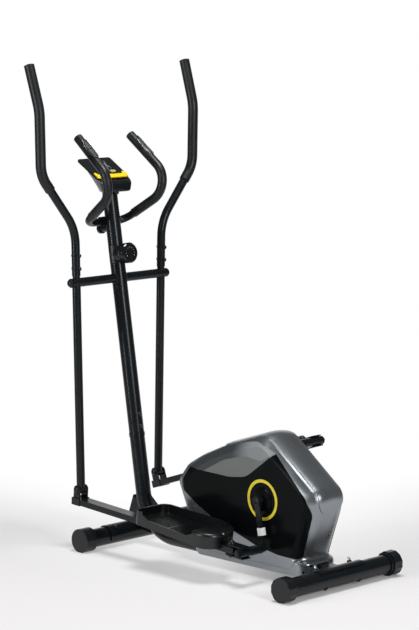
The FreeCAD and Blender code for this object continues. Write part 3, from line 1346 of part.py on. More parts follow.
node("handlebar", handlebar())
node("handlebar_grips", solid(Part.makeCompound([handlebar_grip(1), handlebar_grip(-1)])))
node("horn_plugs", group(horn_plug(1), horn_plug(-1)))
node("pulse_sensors", group(pulse_sensor(1), pulse_sensor(-1)))
node("sensor_bezels", group(sensor_bezel(1), sensor_bezel(-1)))
node("handlebar_clamp", handlebar_clamp(), mast_frame())


# ---------------------------------------------------------------- console

def console_frame():
    """X runs up the face to its top edge, Z stands out of the face; the origin is at the face's middle."""
    tilt = math.radians(num(S.console_tilt))
    half = num(S.console_length) / 2
    spot = Vector(num(S.console_top_x) - half * math.cos(tilt), 0, num(S.console_top_z) - half * math.sin(tilt))
    return Placement(spot, Rotation(Vector(0, 1, 0), -num(S.console_tilt)))


def flat_outline(half_x, half_y, radius, z=0.0):
    wire = rounded_outline([(-half_x, -half_y), (half_x, -half_y), (half_x, half_y), (-half_x, half_y)],
                           [radius] * 4)
    wire.rotate(Vector(), Vector(1, 0, 0), 90)
    wire.translate(Vector(0, 0, z))
    return wire


def console_section(low, high, low_half, high_half, low_round, high_round):
    """A rounded outline across the console that runs from one point of its side view to another."""
    first, last = Vector(low[0], 0, low[1]), Vector(high[0], 0, high[1])
    half_x = (last - first).Length / 2
    wire = rounded_outline([(-half_x, -low_half), (half_x, -high_half), (half_x, high_half), (-half_x, low_half)],
                           [low_round, high_round, high_round, low_round])
    wire.rotate(Vector(), Vector(1, 0, 0), 90)
    angle = math.degrees(math.atan2((last - first).z, (last - first).x))
    wire.Placement = Placement((first + last) * 0.5, Rotation(Vector(0, 1, 0), -angle)).multiply(wire.Placement)
    return wire


def console_housing():
    """A thin face on a body that swells to a chin at the rear and narrows down to the mast."""
    half_x, half_y, edge = num(S.console_length) / 2, num(S.console_half), num(S.console_edge)
    face = Part.Face(flat_outline(half_x, half_y, 14)).extrude(Vector(0, 0, -edge))
    face.Placement = console_frame().multiply(face.Placement)
    corners = [console_frame().multVec(Vector(x, 0, -edge)) for x in (-half_x, half_x)]
    rim = console_section((corners[0].x, corners[0].z), (corners[1].x, corners[1].z), half_y, half_y, 14, 14)
    chin = console_section((num(S.chin_x), num(S.chin_z)), (corners[1].x - 6, corners[1].z - 8),
                           half_y - 7, half_y - 4, 20, 14)
    foot_z = num(S.console_foot_z)
    foot = console_section((num(S.console_foot_rear), foot_z), (num(S.console_foot_front), foot_z - 4),
                           52, 22, 16, 18)
    upper = Part.makeLoft([rim, chin], True, True)
    lower = Part.makeLoft([chin, foot], True, True)
    return solid(face.fuse([upper, lower]))


def console_parts():
    housing = console_housing()
    socket = rod(S.mast_radius + 0.2, -100, S.mast_rise + 0.3, along="Z")
    socket = carried(socket, mast_frame())
    lens_x = S.console_length / 2 - 18 - S.lens_length / 2
    pocket = block((lens_x - S.lens_length / 2 - 0.1, lens_x + S.lens_length / 2 + 0.1),
                   (S.lens_width / -2 - 0.1, S.lens_width / 2 + 0.1), (-1.6, 1))
    hole = block((BUTTON_X - S.button_length / 2 - 0.4, BUTTON_X + S.button_length / 2 + 0.4),
                 (S.button_width / -2 - 0.4 + BUTTON_Y, S.button_width / 2 + 0.4 + BUTTON_Y), (-6, 1))
    trim_low = S.console_length / -2
    trim_seat = block((trim_low - 1, trim_low + S.trim_length), (-80, 80), (-1.5, 1))
    seats = [carried(item, console_frame()) for item in (pocket, hole, trim_seat)]
    node("console_housing", cut(housing, socket, *seats))
    outline = Part.Face(flat_outline(num(S.console_length) / 2, num(S.console_half), 14, -1.5))
    slab = solid(outline.extrude(Vector(0, 0, 2.0)))
    trim = common(slab, block((trim_low - 1, trim_low + S.trim_length - 0.2), (-80, 80), (-3, 3)))
    node("console_trim", trim, console_frame())
    lens = block((lens_x - S.lens_length / 2, lens_x + S.lens_length / 2),
                 (S.lens_width / -2, S.lens_width / 2), (-1.5, -0.1))
    node("console_lens", lens, console_frame())
    face = flat_outline(num(S.button_length) / 2, num(S.button_width) / 2, num(S.button_length) / 2 - 0.2, -4)
    button = solid(Part.Face(face).extrude(Vector(0, 0, 6)))
    button.Placement = Placement(Vector(num(BUTTON_X), num(BUTTON_Y), 0), Rotation())
    node("mode_button", button, console_frame())


BUTTON_X = S.console_length / -2 + S.trim_length + 14
BUTTON_Y = S.console_half * -0.35
console_parts()


# ---------------------------------------------------------------- tension knob

def tension_base():
    """A saddle on the mast's rear with a short round boss for the knob."""
    start, end = S.mast_radius + 0.1, S.mast_radius + S.base_length
    boss = rod(S.knob_radius - 4, end * -1, -1 * start + 10, z=S.knob_rise, along="X")
    band = rod(S.mast_radius + 4, S.knob_rise - S.band_height / 2, S.knob_rise + S.band_height / 2, along="Z")
    front = block((5, 60), (-60, 60), (0, 200))
    mast_bore = rod(S.mast_radius + 0.1, 0, 200, along="Z")
    spindle_hole = rod(S.pin_radius + S.running_gap, -80, 0, z=S.knob_rise, along="X")
    return cut(fuse(boss, band), front, mast_bore, spindle_hole)


def tension_knob():
    """A round knob with finger grooves, its spindle in the boss."""
    start = S.mast_radius + S.base_length + S.end_gap
    end = start + S.knob_length
    body = turned([(0, start), (S.knob_radius - 2, start), (S.knob_radius, start + 5),
                   (S.knob_radius, end - 4), (S.knob_radius - 4, end), (0, end)], along="Z")
    grooves = []
    for number in range(12):
        angle = math.radians(30 * number)
        reach = S.knob_radius + 3.4
        grooves.append(rod(5, start + 6, end + 1, reach * math.cos(angle), reach * math.sin(angle), along="Z"))
    dish = rod(S.knob_radius - 9, end - 1.5, end + 1, along="Z")
    spindle = rod(S.pin_radius, S.mast_radius + 1.5, start + 1, along="Z")
    item = group(fuse(cut(body, dish, *grooves), spindle))
    item.Placement = Placement(Vector(0, 0, num(S.knob_rise)), Rotation(Vector(0, 1, 0), -90))
    return item


node("tension_base", tension_base(), mast_frame())
node("tension_knob", tension_knob(), mast_frame())


# ---------------------------------------------------------------- export

doc.recompute()
os.makedirs("parts", exist_ok=True)
for item in doc.Objects:
    if "Invalid" in item.State or "Error" in item.State:
        raise RuntimeError(f"{item.Name} {item.Label} did not build: {item.State}")
for item in NODES:
    if item.Shape.isNull() or not item.Shape.isValid():
        raise RuntimeError(f"{item.Label} has no valid shape")
for item in NODES:
    item.Shape.exportStep(f"parts/{item.Label}.step")
print(len(NODES), "sub-parts written")
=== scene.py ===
"""An elliptical trainer: finishes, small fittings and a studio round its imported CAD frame.

Places are in the frame's own metres: X towards the mast, Y to the left, Z up from the floor.
"""

import math

import bmesh
import bpy
import numpy as np
from bpy.props import FloatProperty, FloatVectorProperty, IntProperty, PointerProperty
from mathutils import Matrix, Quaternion, Vector


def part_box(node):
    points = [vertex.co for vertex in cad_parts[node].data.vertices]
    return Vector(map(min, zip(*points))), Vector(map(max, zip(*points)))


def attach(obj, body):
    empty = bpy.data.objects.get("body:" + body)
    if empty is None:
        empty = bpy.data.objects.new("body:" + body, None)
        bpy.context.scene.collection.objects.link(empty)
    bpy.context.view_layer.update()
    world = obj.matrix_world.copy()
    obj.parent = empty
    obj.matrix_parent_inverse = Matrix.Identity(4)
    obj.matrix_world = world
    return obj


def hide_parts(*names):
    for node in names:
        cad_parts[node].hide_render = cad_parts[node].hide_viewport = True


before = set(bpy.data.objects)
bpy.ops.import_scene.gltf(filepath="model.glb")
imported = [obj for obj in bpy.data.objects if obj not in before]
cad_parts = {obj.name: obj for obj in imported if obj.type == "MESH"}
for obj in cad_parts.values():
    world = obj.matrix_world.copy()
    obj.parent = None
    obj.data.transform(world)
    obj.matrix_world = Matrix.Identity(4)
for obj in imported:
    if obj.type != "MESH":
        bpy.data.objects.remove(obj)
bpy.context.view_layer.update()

bl_info = {
    "name": "Elliptical Trainer Finishes",
    "version": (1, 0, 0),
    "blender": (4, 5, 0),
    "location": "View3D > Sidebar > Trainer",
    "description": "Dresses the trainer's frame in its finishes and sets up a pale studio",
    "category": "Object",
}

MM = 0.001
TURN = 2 * math.pi
PATCH = 71.43 * MM  # how wide the slow shifts of tone and gloss are on every finish


def linear(code):
    """A hex sRGB colour as linear red, green and blue."""
    values = np.array([int(code[k:k + 2], 16) for k in (1, 3, 5)]) / 255
    return tuple(np.where(values <= 0.04045, values / 12.92, ((values + 0.055) / 1.055) ** 2.4))


def colour(label, code, description):
    """A colour property whose default is a hex sRGB value."""
    return FloatVectorProperty(name=label, description=description, subtype="COLOR",
                               size=3, min=0, max=1, default=linear(code))


def length(label, millimetres, description):
    """A length property, written in millimetres and kept in metres."""
    return FloatProperty(name=label, description=description, unit="LENGTH",
                         precision=5, min=0, default=millimetres * MM)


def angle(label, degrees, description):
    """An angle property, written in degrees."""
    return FloatProperty(name=label, description=description, subtype="ANGLE", default=math.radians(degrees))


# ---------------------------------------------------------------- what a user would change

class FinishSettings(bpy.types.PropertyGroup):
    """Colours and grain sizes of the trainer's finishes."""

    steel: colour("Frame", "#0f1417", "Powder coat on tubes and brackets")
    foam: colour("Foam", "#101416", "Foam grips")
    moulding: colour("Mouldings", "#0e1215", "Caps, plugs, the console's body and the knob's saddle")
    footplate: colour("Footplates", "#0a0d0f", "Leather-grained footplates")
    cover: colour("Drive cover", "#8f9498", "Metallic coat of the cover halves")
    panel: colour("Side panel", "#0a0d0e", "Gloss side panels")
    dark_band: colour("Dark band", "#33383b", "Printed band along the cover's top")
    band_end: colour("Band's rear end", "#85898b", "What the dark band fades into at the rear")
    light_band: colour("Light band", "#6b6f6e", "Printed area below the dark band")
    accent: colour("Accent", "#e6d42a", "Printed rings")
    trim: colour("Console trim", "#f7d11c", "Moulded trim at the console's foot")
    coat_grain: length("Coat grain", 4.0, "Width that a ripple of the powder coat is drawn at")
    mould_grain: length("Mould grain", 0.8, "Width that a spark-eroded pit is drawn at")


class FittingSettings(bpy.types.PropertyGroup):
    """Sizes of the small fittings that are made here."""

    weld_width: length("Weld width", 5.0, "Width of a fillet weld")
    screw_head: length("Screw head", 6.2, "Width of the cover's screw heads")
    label_width: length("Label width", 20.0, "Width of the plain paper label on a crank")
    label_length: length("Label length", 24.0, "Length of the plain paper label on a crank")
    dial_ticks: IntProperty(name="Dial marks", description="Marks round the knob's face", default=9, min=3)


class StageSettings(bpy.types.PropertyGroup):
    """The camera's place and aim."""

    eye: FloatVectorProperty(name="Eye", description="Where the camera stands", subtype="XYZ",
                             unit="LENGTH", size=3, default=(-5.3247, 5.2181, 1.8166))
    heading: angle("Heading", -44.31, "Turn of the view from +X towards +Y")
    pitch: angle("Pitch", -7.83, "Rise of the view above level")
    roll: angle("Roll", -0.235, "Turn about the line of sight")
    lens: FloatProperty(name="Lens", description="Focal length in millimetres on a 36 mm tall frame",
                        default=135.67, min=10)


def finishes():
    """The scene's colours and grain sizes."""
    return bpy.context.scene.trainer_finishes


def fittings():
    """The scene's sizes of small fittings."""
    return bpy.context.scene.trainer_fittings


# ---------------------------------------------------------------- materials

def add_node(tree, kind, inputs=None, **settings):
    """Adds a shader node, sets its properties, and fills or links its inputs."""
    node = tree.nodes.new("ShaderNode" + kind)
    for name, value in settings.items():
        setattr(node, name, value)
    for key, value in (inputs or {}).items():
        if isinstance(value, bpy.types.NodeSocket):
            tree.links.new(value, node.inputs[key])
        else:
            node.inputs[key].default_value = value
    return node


def new_material(name, rgb, roughness, **sockets):
    """A material with a Principled shader; returns it with its tree and shader."""
    material = bpy.data.materials.new(name)
    material.use_nodes = True
    tree = material.node_tree
    tree.nodes.clear()
    values = {"Base Color": (*rgb, 1), "Roughness": roughness}
    values.update({key.replace("_", " "): value for key, value in sockets.items()})
    shader = add_node(tree, "BsdfPrincipled", values)
    add_node(tree, "OutputMaterial", {"Surface": shader.outputs[0]})
    return material, tree, shader


def grained(name, rgb, roughness, grain, depth, spread=0.08, tone=0.1, **sockets):
    """A finish with a fine random relief of one grain width, and slow shifts in tone and gloss."""
    material, tree, shader = new_material(name, rgb, roughness, **sockets)
    place = add_node(tree, "TexCoord").outputs["Object"]
    fine = add_node(tree, "TexNoise", {"Vector": place, "Scale": 1 / grain, "Detail": 3.0})
    slow = add_node(tree, "TexNoise", {"Vector": place, "Scale": 1 / PATCH, "Detail": 4.0})
    relief = add_node(tree, "Bump", {"Height": fine.outputs["Fac"], "Distance": depth, "Strength": 0.6})
    tree.links.new(relief.outputs["Normal"], shader.inputs["Normal"])
    gloss = add_node(tree, "MapRange", {"Value": slow.outputs["Fac"], "From Min": 0.3, "From Max": 0.7,
                                        "To Min": roughness - spread / 2, "To Max": roughness + spread / 2})
    tree.links.new(gloss.outputs["Result"], shader.inputs["Roughness"])
    dark, light = ([c * share for c in rgb] + [1] for share in (1 - tone, 1 + tone))
    shade = add_node(tree, "Mix", {"Factor": slow.outputs["Fac"], "A": dark, "B": light}, data_type="RGBA")
    tree.links.new(shade.outputs["Result"], shader.inputs["Base Color"])
    return material


def fade(material, rgb, start, stop, axis):
    """Lets a finish change to a second colour along one axis, as a smooth step between two places."""
    tree = material.node_tree
    shader = next(node for node in tree.nodes if node.type == "BSDF_PRINCIPLED")
    shade = shader.inputs["Base Color"].links[0].from_socket
    place = add_node(tree, "SeparateXYZ", {0: add_node(tree, "TexCoord").outputs["Object"]})
    share = add_node(tree, "MapRange", {"Value": place.outputs[axis], "From Min": start, "From Max": stop},
                     interpolation_type="SMOOTHSTEP")
    blend = add_node(tree, "Mix", {"Factor": share.outputs["Result"], "A": shade, "B": (*rgb, 1)},
                     data_type="RGBA")
    tree.links.new(blend.outputs["Result"], shader.inputs["Base Color"])


def dress(material, *names):
    """Gives a finish to every face of some CAD nodes."""
    for name in names:
        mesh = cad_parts[name].data
        mesh.materials.clear()
        mesh.materials.append(material)
        mesh.polygons.foreach_set("material_index", np.zeros(len(mesh.polygons), np.int32))


def both(*names):
    """The left and right node of each name."""
    return [f"{side}_{name}" for name in names for side in ("left", "right")]


# ---------------------------------------------------------------- surfaces

def grid_mesh(name, grids):
    """A mesh from grids of points: neighbours in rows and columns make its four-sided faces."""
    points, faces, start = [], [], 0
    for grid in grids:
        rows, columns = grid.shape[:2]
        index = np.arange(rows * columns).reshape(rows, columns) + start
        quads = np.stack([index[:-1, :-1], index[1:, :-1], index[1:, 1:], index[:-1, 1:]], axis=-1)
        points.append(grid.reshape(-1, 3))
        faces.append(quads.reshape(-1, 4))
        start += rows * columns
    mesh = bpy.data.meshes.new(name)
    mesh.from_pydata(np.concatenate(points).tolist(), [], np.concatenate(faces).tolist())
    return mesh


def piece(name, grids, material, body):
    """One object from grids of points, with its seams closed, its faces outwards and its edges shaded."""
    mesh = grid_mesh(name, grids)
    work = bmesh.new()
    work.from_mesh(mesh)
    bmesh.ops.remove_doubles(work, verts=work.verts, dist=2e-6)
    bmesh.ops.dissolve_degenerate(work, edges=work.edges, dist=1e-7)
    bmesh.ops.recalc_face_normals(work, faces=work.faces)
    work.to_mesh(mesh)
    work.free()
    mesh.shade_smooth()
    mesh.set_sharp_from_angle(angle=math.radians(40))
    mesh.materials.append(material)
    item = bpy.data.objects.new(name, mesh)
    bpy.context.scene.collection.objects.link(item)
    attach(item, body)
    return item


def axes(aim, side):
    """Three unit directions at right angles: the cross product of side and aim, its own with the aim, and
    the aim."""
    aim = np.array(aim, float) / np.linalg.norm(aim)
    across = np.cross(side, aim)
    across /= np.linalg.norm(across)
    return across, np.cross(aim, across), aim


def turned(profile, spot, aim, steps=24, side=(0, 0, 1)):
    """A profile of radius and height turned round an aim: its radius goes with the cosine and the sine of
    the turn, its height along the aim."""
    across, up, aim = axes(aim, side)
    profile = np.array(profile, float)
    around = np.linspace(0, TURN, steps + 1)
    ring = np.cos(around)[:, None] * across + np.sin(around)[:, None] * up
    return np.array(spot) + profile[:, None, :1] * ring[None] + profile[:, None, 1:] * aim


def bead(path, outward, width, ripple=0.0, waves=60, steps=10):
    """A round seam along a closed path: the path plus a small circle in its outward and forward directions,
    whose radius swells with a sine wave for the ripples of a weld."""
    forward = np.roll(path, -1, axis=0) - np.roll(path, 1, axis=0)
    forward /= np.linalg.norm(forward, axis=1)[:, None]
    sideways = np.cross(forward, outward)
    along = np.linspace(0, TURN, len(path), endpoint=False)
    radius = width / 2 * (1 + ripple * np.sin(waves * along))
    around = np.linspace(0, TURN, steps + 1)
    grid = (path[:, None] + radius[:, None, None] * (np.cos(around)[None, :, None] * outward[:, None]
                                                     + np.sin(around)[None, :, None] * sideways[:, None]))
    return np.concatenate([grid, grid[:1]])


def plate(outline, lift, depth, edge):
    """A flat plate from an outline in a plane: its side rises, turns inwards over a quarter circle, and
    shrinks to the middle. The outline has rows of along and across; lift and depth are heights."""
    outline = np.array(outline, float)
    middle = outline.mean(axis=0)
    along = np.roll(outline, -1, axis=0) - np.roll(outline, 1, axis=0)
    inward = np.column_stack([-along[:, 1], along[:, 0]])
    inward /= np.linalg.norm(inward, axis=1, keepdims=True)
    inward *= np.sign(np.sum(inward * (middle - outline)))
    turn = np.linspace(0, math.pi / 2, 6)
    rings = [(0.0, lift - depth)]
    rings += [(edge * (1 - math.cos(t)), lift - edge + edge * math.sin(t)) for t in turn]
    levels = [np.column_stack([outline + inward * inset, np.full(len(outline), height)])
              for inset, height in rings]
    inner = outline + inward * edge
    levels += [np.column_stack([inner + (middle - inner) * share, np.full(len(outline), lift)])
               for share in (0.35, 0.7, 1.0)]
    grid = np.array(levels)
    return np.concatenate([grid, grid[:, :1]], axis=1)


def strip(low, high, across, lift, depth, edge):
    """A long moulding between a low and a high edge: its section rises at the low edge, turns over a
    quarter circle, runs level, and turns down again at the high edge. Both ends close on a point."""
    turn = np.linspace(0, math.pi / 2, 6)
    inset = np.concatenate([[0], edge * (1 - np.cos(turn))])
    height = np.concatenate([[lift - depth], lift - edge + edge * np.sin(turn)])
    section = [np.stack([low + i, across, np.full_like(low, h)], axis=-1) for i, h in zip(inset, height)]
    section += [np.stack([high - i, across, np.full_like(low, h)], axis=-1)
                for i, h in zip(inset[::-1], height[::-1])]
    section.append(section[0])
    grid = np.array(section)
    ends = grid.mean(axis=0, keepdims=True).repeat(len(grid), axis=0)
    return np.concatenate([ends[:, :1], grid, ends[:, -1:]], axis=1)


def lofted(sections, spread=6):
    """A closed body through outlines with equal numbers of points: each point follows a cubic curve whose
    slope at a section is half the way from the section before to the one after, and the first and last
    outlines shrink to their middles."""
    stack = np.array(sections)
    steps = np.linspace(0, 1, spread, endpoint=False)[:, None, None]
    padded = np.concatenate([2 * stack[:1] - stack[1:2], stack, 2 * stack[-1:] - stack[-2:-1]])
    rows = []
    for number in range(len(stack) - 1):
        before, start, end, after = padded[number:number + 4]
        rows.append(0.5 * (2 * start + (end - before) * steps
                           + (2 * before - 5 * start + 4 * end - after) * steps ** 2
                           + (3 * start - before - 3 * end + after) * steps ** 3))
    rows.append(stack[-1:])
    grid = np.concatenate(rows)
    for place in (0, -1):
        middle = grid[place].mean(axis=0)
        caps = np.array([grid[place] + (middle - grid[place]) * share for share in (0.4, 0.8, 1.0)])
        grid = np.concatenate([caps[::-1], grid]) if place == 0 else np.concatenate([grid, caps])
    return np.concatenate([grid, grid[:, :1]], axis=1)


def placed(grid, spot, along, across, out):
    """A grid of along, across and out carried into the frame: the spot plus each times its direction."""
    return (np.array(spot) + grid[..., :1] * np.array(along) + grid[..., 1:2] * np.array(across)
            + grid[..., 2:] * np.array(out))


def rounded_box(low, high, corner, steps):
    """Points round a rectangle whose corners are quarter circles, each of as many points as steps."""
    points = []
    left, right, bottom, top = low[0] + corner, high[0] - corner, low[1] + corner, high[1] - corner
    for start, (x, y) in enumerate(((right, top), (left, top), (left, bottom), (right, bottom))):
        turn = (start + np.linspace(0, 1, steps)) * math.pi / 2
        points.append(np.column_stack([x + corner * np.cos(turn), y + corner * np.sin(turn)]))
    return np.concatenate(points)


# ---------------------------------------------------------------- places on the frame

def middle(node):
    """The middle of a CAD node's box."""
    low, high = (np.array(corner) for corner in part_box(node))
    return (low + high) / 2


SIDE = np.array([0.0, 1.0, 0.0])

# The crank's axis, and the left crank as it stands at rest: its lean and its reach from axis to pin.
CRANK = middle("crank_axle")
CRANK_LEAN = math.radians(-10.4)
CRANK_REACH = 146.5 * MM

# The mast: its line, the direction square to its front, and the middle of the arms' cross tube on it.
MAST_LEAN = math.radians(8.83)
MAST_WAY = np.array([math.sin(MAST_LEAN), 0, math.cos(MAST_LEAN)])
MAST_FRONT = np.array([math.cos(MAST_LEAN), 0, -math.sin(MAST_LEAN)])
MAST_RADIUS = 25 * MM
PIVOT = np.array([0.4459, 0, 0.8730])
CROSS_TUBE_RADIUS = 15 * MM

# The console's face: up its slope, out of it, and its middle, which lies below its top edge.
FACE_TILT = math.radians(31)
FACE_UP = np.array([math.cos(FACE_TILT), 0, math.sin(FACE_TILT)])
FACE_OUT = np.array([-math.sin(FACE_TILT), 0, math.cos(FACE_TILT)])
FACE_MIDDLE = np.array([0.5689, 0, 1.2620]) - 57 * MM * FACE_UP

# The left end of the fixed handlebar: two points on its middle line and the radius of its grip.
HORN_BACK = np.array([0.3125, 0.127, 1.182])
HORN_TIP = np.array([0.5125, 0.115, 1.336])
GRIP = 15.5 * MM

# A footplate's slope, which rises towards the mast by 8 degrees: along it, and out of it.
FOOT_ALONG = np.array([0.9903, 0, 0.1392])
FOOT_OUT = np.array([-0.1392, 0, 0.9903])


# ---------------------------------------------------------------- pieces

# Most of these finishes have grains under a millimetre wide, which wouldn't show at the size that the whole
# trainer is seen at. Each is drawn as coarse as it needs to be, and its comment gives its real width.

class TRAINER_OT_steelwork(bpy.types.Operator):
    """Powder-coated steel: tubes, mast, arms, bars and cranks"""

    bl_idname = "trainer.steelwork"
    bl_label = "Steelwork"

    def execute(self, context):
        look = finishes()
        # Polyester powder coat baked on drawn steel tube: satin black, with the shallow ripples of flowed
        # powder, really 1 to 2 mm wide, that break the edges of its long highlights.
        paint = grained("satin_powder_coat_on_steel", look.steel, 0.25, look.coat_grain, 0.008 * MM,
                        Specular_IOR_Level=0.27)
        dress(paint, "front_foot_tube", "rear_foot_tube", "main_frame", "mast", "handlebar",
              "handlebar_clamp", *both("lower_arm", "upper_arm", "pedal_bar", "joint_sleeve", "crank"))
        return {"FINISHED"}


class TRAINER_OT_welds(bpy.types.Operator):
    """Fillet welds where the cross tube meets the mast"""

    bl_idname = "trainer.welds"
    bl_label = "Welds"

    def execute(self, context):
        # Arc weld under the same powder coat, with grains as wide as the real ones: the coat fills the weld's
        # ripples, so only soft scallops show.
        paint = grained("coated_arc_weld", finishes().steel, 0.4, 1.5 * MM, 0.08 * MM)
        around = np.linspace(0, TURN, 160, endpoint=False)
        clear = 0.5 * MM
        grids = []
        for way in (1, -1):
            # Where the cross tube meets the mast: the seam lies out to the side by the root of the mast's
            # radius squared less the square of its offset from the mast's middle plane.
            reach = np.sqrt(MAST_RADIUS ** 2 - (CROSS_TUBE_RADIUS * np.cos(around)) ** 2) + clear
            spoke = np.cos(around)[:, None] * MAST_FRONT + np.sin(around)[:, None] * MAST_WAY
            path = PIVOT + CROSS_TUBE_RADIUS * spoke + way * reach[:, None] * SIDE
            grids.append(bead(path, spoke, fittings().weld_width, ripple=0.12))
        piece("cross_tube_welds", grids, paint, "frame")
        return {"FINISHED"}


class TRAINER_OT_mouldings(bpy.types.Operator):
    """Moulded black plastic: footplates, caps and plugs"""

    bl_idname = "trainer.mouldings"
    bl_label = "Mouldings"

    def execute(self, context):
        look = finishes()
        # Injection-moulded polypropylene from a spark-eroded mould: an even pitting, really 0.1 mm wide, that
        # spreads highlights into a soft sheen.
        plastic = grained("moulded_polypropylene", look.moulding, 0.34, look.mould_grain, 0.006 * MM,
                          Specular_IOR_Level=0.35)
        dress(plastic, "front_foot_caps", "horn_plugs", *both("rear_foot_cap", "arm_bushes", "bar_cap"))
        # The same plastic with a leather grain against slipping, really 1 mm wide, which scatters light into
        # a wide grey sheen.
        leather = grained("leather_grained_polypropylene", look.footplate, 0.31, 3.0 * MM, 0.012 * MM,
                          Specular_IOR_Level=0.5)
        dress(leather, *both("pedal"))
        for side, way in (("left", 1), ("right", -1)):
            self.make_heel(side, way, leather)
        # Nitrile foam sleeve with a sealed skin over cells that are really 0.3 mm wide: a long, soft grey
        # highlight with a slightly broken edge.
        foam = grained("closed_cell_foam", look.foam, 0.4, 2.0 * MM, 0.012 * MM, Specular_IOR_Level=0.35)
        dress(foam, "handlebar_grips", *both("arm_grip"))
        return {"FINISHED"}

    @staticmethod
    def make_heel(side, way, finish):
        """The heel stop on a footplate: a block with a wide round rear, whose top edge turns over a quarter
        circle and whose top swells towards its middle with the square of the distance."""
        # Its outline's corners along and across the footplate, and the radii of its rear and front corners.
        low, high = np.array((-0.2169, 0.1215)), np.array((-0.1390, 0.2621))
        wide, tight = 58 * MM, 5 * MM
        turn = np.linspace(0, math.pi / 2, 13)[:, None]
        arcs = [np.column_stack([x + radius * np.cos(turn + start), y + radius * np.sin(turn + start)])
                for x, y, radius, start in ((high[0] - tight, high[1] - tight, tight, 0),
                                            (low[0] + wide, high[1] - wide, wide, math.pi / 2),
                                            (low[0] + wide, low[1] + wide, wide, math.pi),
                                            (high[0] - tight, low[1] + tight, tight, 1.5 * math.pi))]
        outline = np.concatenate(arcs)
        centre = (low + high) / 2
        edge, base, top, swell = 11 * MM, 0.1640, 0.1860, 2.5 * MM
        bend = np.linspace(0, math.pi / 2, 9)
        levels = [(0, base)] + [(edge * (1 - math.cos(t)), top - edge + edge * math.sin(t)) for t in bend]
        reach = np.linalg.norm(outline - centre, axis=1, keepdims=True)
        rings = [np.column_stack([centre + (outline - centre) * (1 - inset / reach),
                                  np.full(len(outline), height)]) for inset, height in levels]
        rim = rings[-1]
        for share in (0.8, 0.6, 0.4, 0.2, 0.0):
            rings.append(np.column_stack([centre + (rim[:, :2] - centre) * share,
                                          rim[:, 2] + swell * (1 - share ** 2)]))
        grid = np.array(rings)
        grid = np.concatenate([grid, grid[:, :1]], axis=1)
        block = placed(grid, np.zeros(3), FOOT_ALONG, way * SIDE, FOOT_OUT)
        piece(f"{side}_heel_stop", [block], finish, f"{side}_bar")


class TRAINER_OT_cover(bpy.types.Operator):
    """The drive cover: coated halves, gloss panels, printed bands and rings"""

    bl_idname = "trainer.cover"
    bl_label = "Drive cover"

    def execute(self, context):
        look = finishes()
        # ABS sprayed with a metallic coat: its flakes, really 0.05 mm wide, give it a soft silver sheen that
        # turns bright towards the lamps and dark away from them.
        coat = grained("metallic_coat_on_abs", look.cover, 0.3, 1.2 * MM, 0.003 * MM, tone=0.05, Metallic=0.9)
        dress(coat, *both("housing"))
        # Polished ABS: deep black with clear, faint reflections and the slight waves of a moulded sheet, as
        # wide as the real ones.
        dress(grained("polished_abs_panel", look.panel, 0.16, 24 * MM, 0.05 * MM, spread=0.05,
                      Specular_IOR_Level=0.06), "side_panels", "hub_covers")
        # Screen-printed ink on the panel, laid through a mesh that is really 0.1 mm wide: even and slightly
        # satin. The dark band's colour turns paler towards the rear, as a smooth step along X.
        band = grained("band_ink_pale_towards_rear", look.dark_band, 0.34, 6 * MM, 0.004 * MM, tone=0.05)
        fade(band, look.band_end, start=-0.150, stop=-0.245, axis="X")
        dress(band, "side_trims")
        dress(grained("grey_screen_print", look.light_band, 0.36, 6 * MM, 0.004 * MM, tone=0.05),
              "side_swooshes")
        dress(grained("accent_screen_print", look.accent, 0.38, 2 * MM, 0.01 * MM, tone=0.04), "side_rings")
        return {"FINISHED"}


class TRAINER_OT_screws(bpy.types.Operator):
    """Dome-head screws in the cover's holes"""

    bl_idname = "trainer.screws"
    bl_label = "Cover screws"

    def execute(self, context):
        # Black zinc on pressed steel, as smooth as the plating leaves it: dull, with a bright rim. Its fine
        # marks are really 0.1 mm wide.
        metal = grained("black_zinc_screw", linear("#25282a"), 0.32, 0.6 * MM, 0.02 * MM, Metallic=0.8)
        # A low dome, whose height falls with the square of the radius, with a socket in its middle.
        radius = np.array([1, 1, 0.95, 0.8, 0.6, 0.42, 0.36, 0.3, 0.0])
        height = np.array([-0.4, 0, 0.12, 0.28, 0.4, 0.46, 0.2, 0.1, 0.1])
        head = fittings().screw_head / 2 * np.column_stack([radius, height])
        # The left side's two holes: behind the crank's axis, out from the middle plane, and above the floor.
        holes = ((163 * MM, 62.5 * MM, 46 * MM), (176 * MM, 43 * MM, 66 * MM))
        grids = [turned(head, (CRANK[0] - behind, way * out, up), (0, way, 0))
                 for behind, out, up in holes for way in (1, -1)]
        piece("cover_screws", grids, metal, "frame")
        return {"FINISHED"}


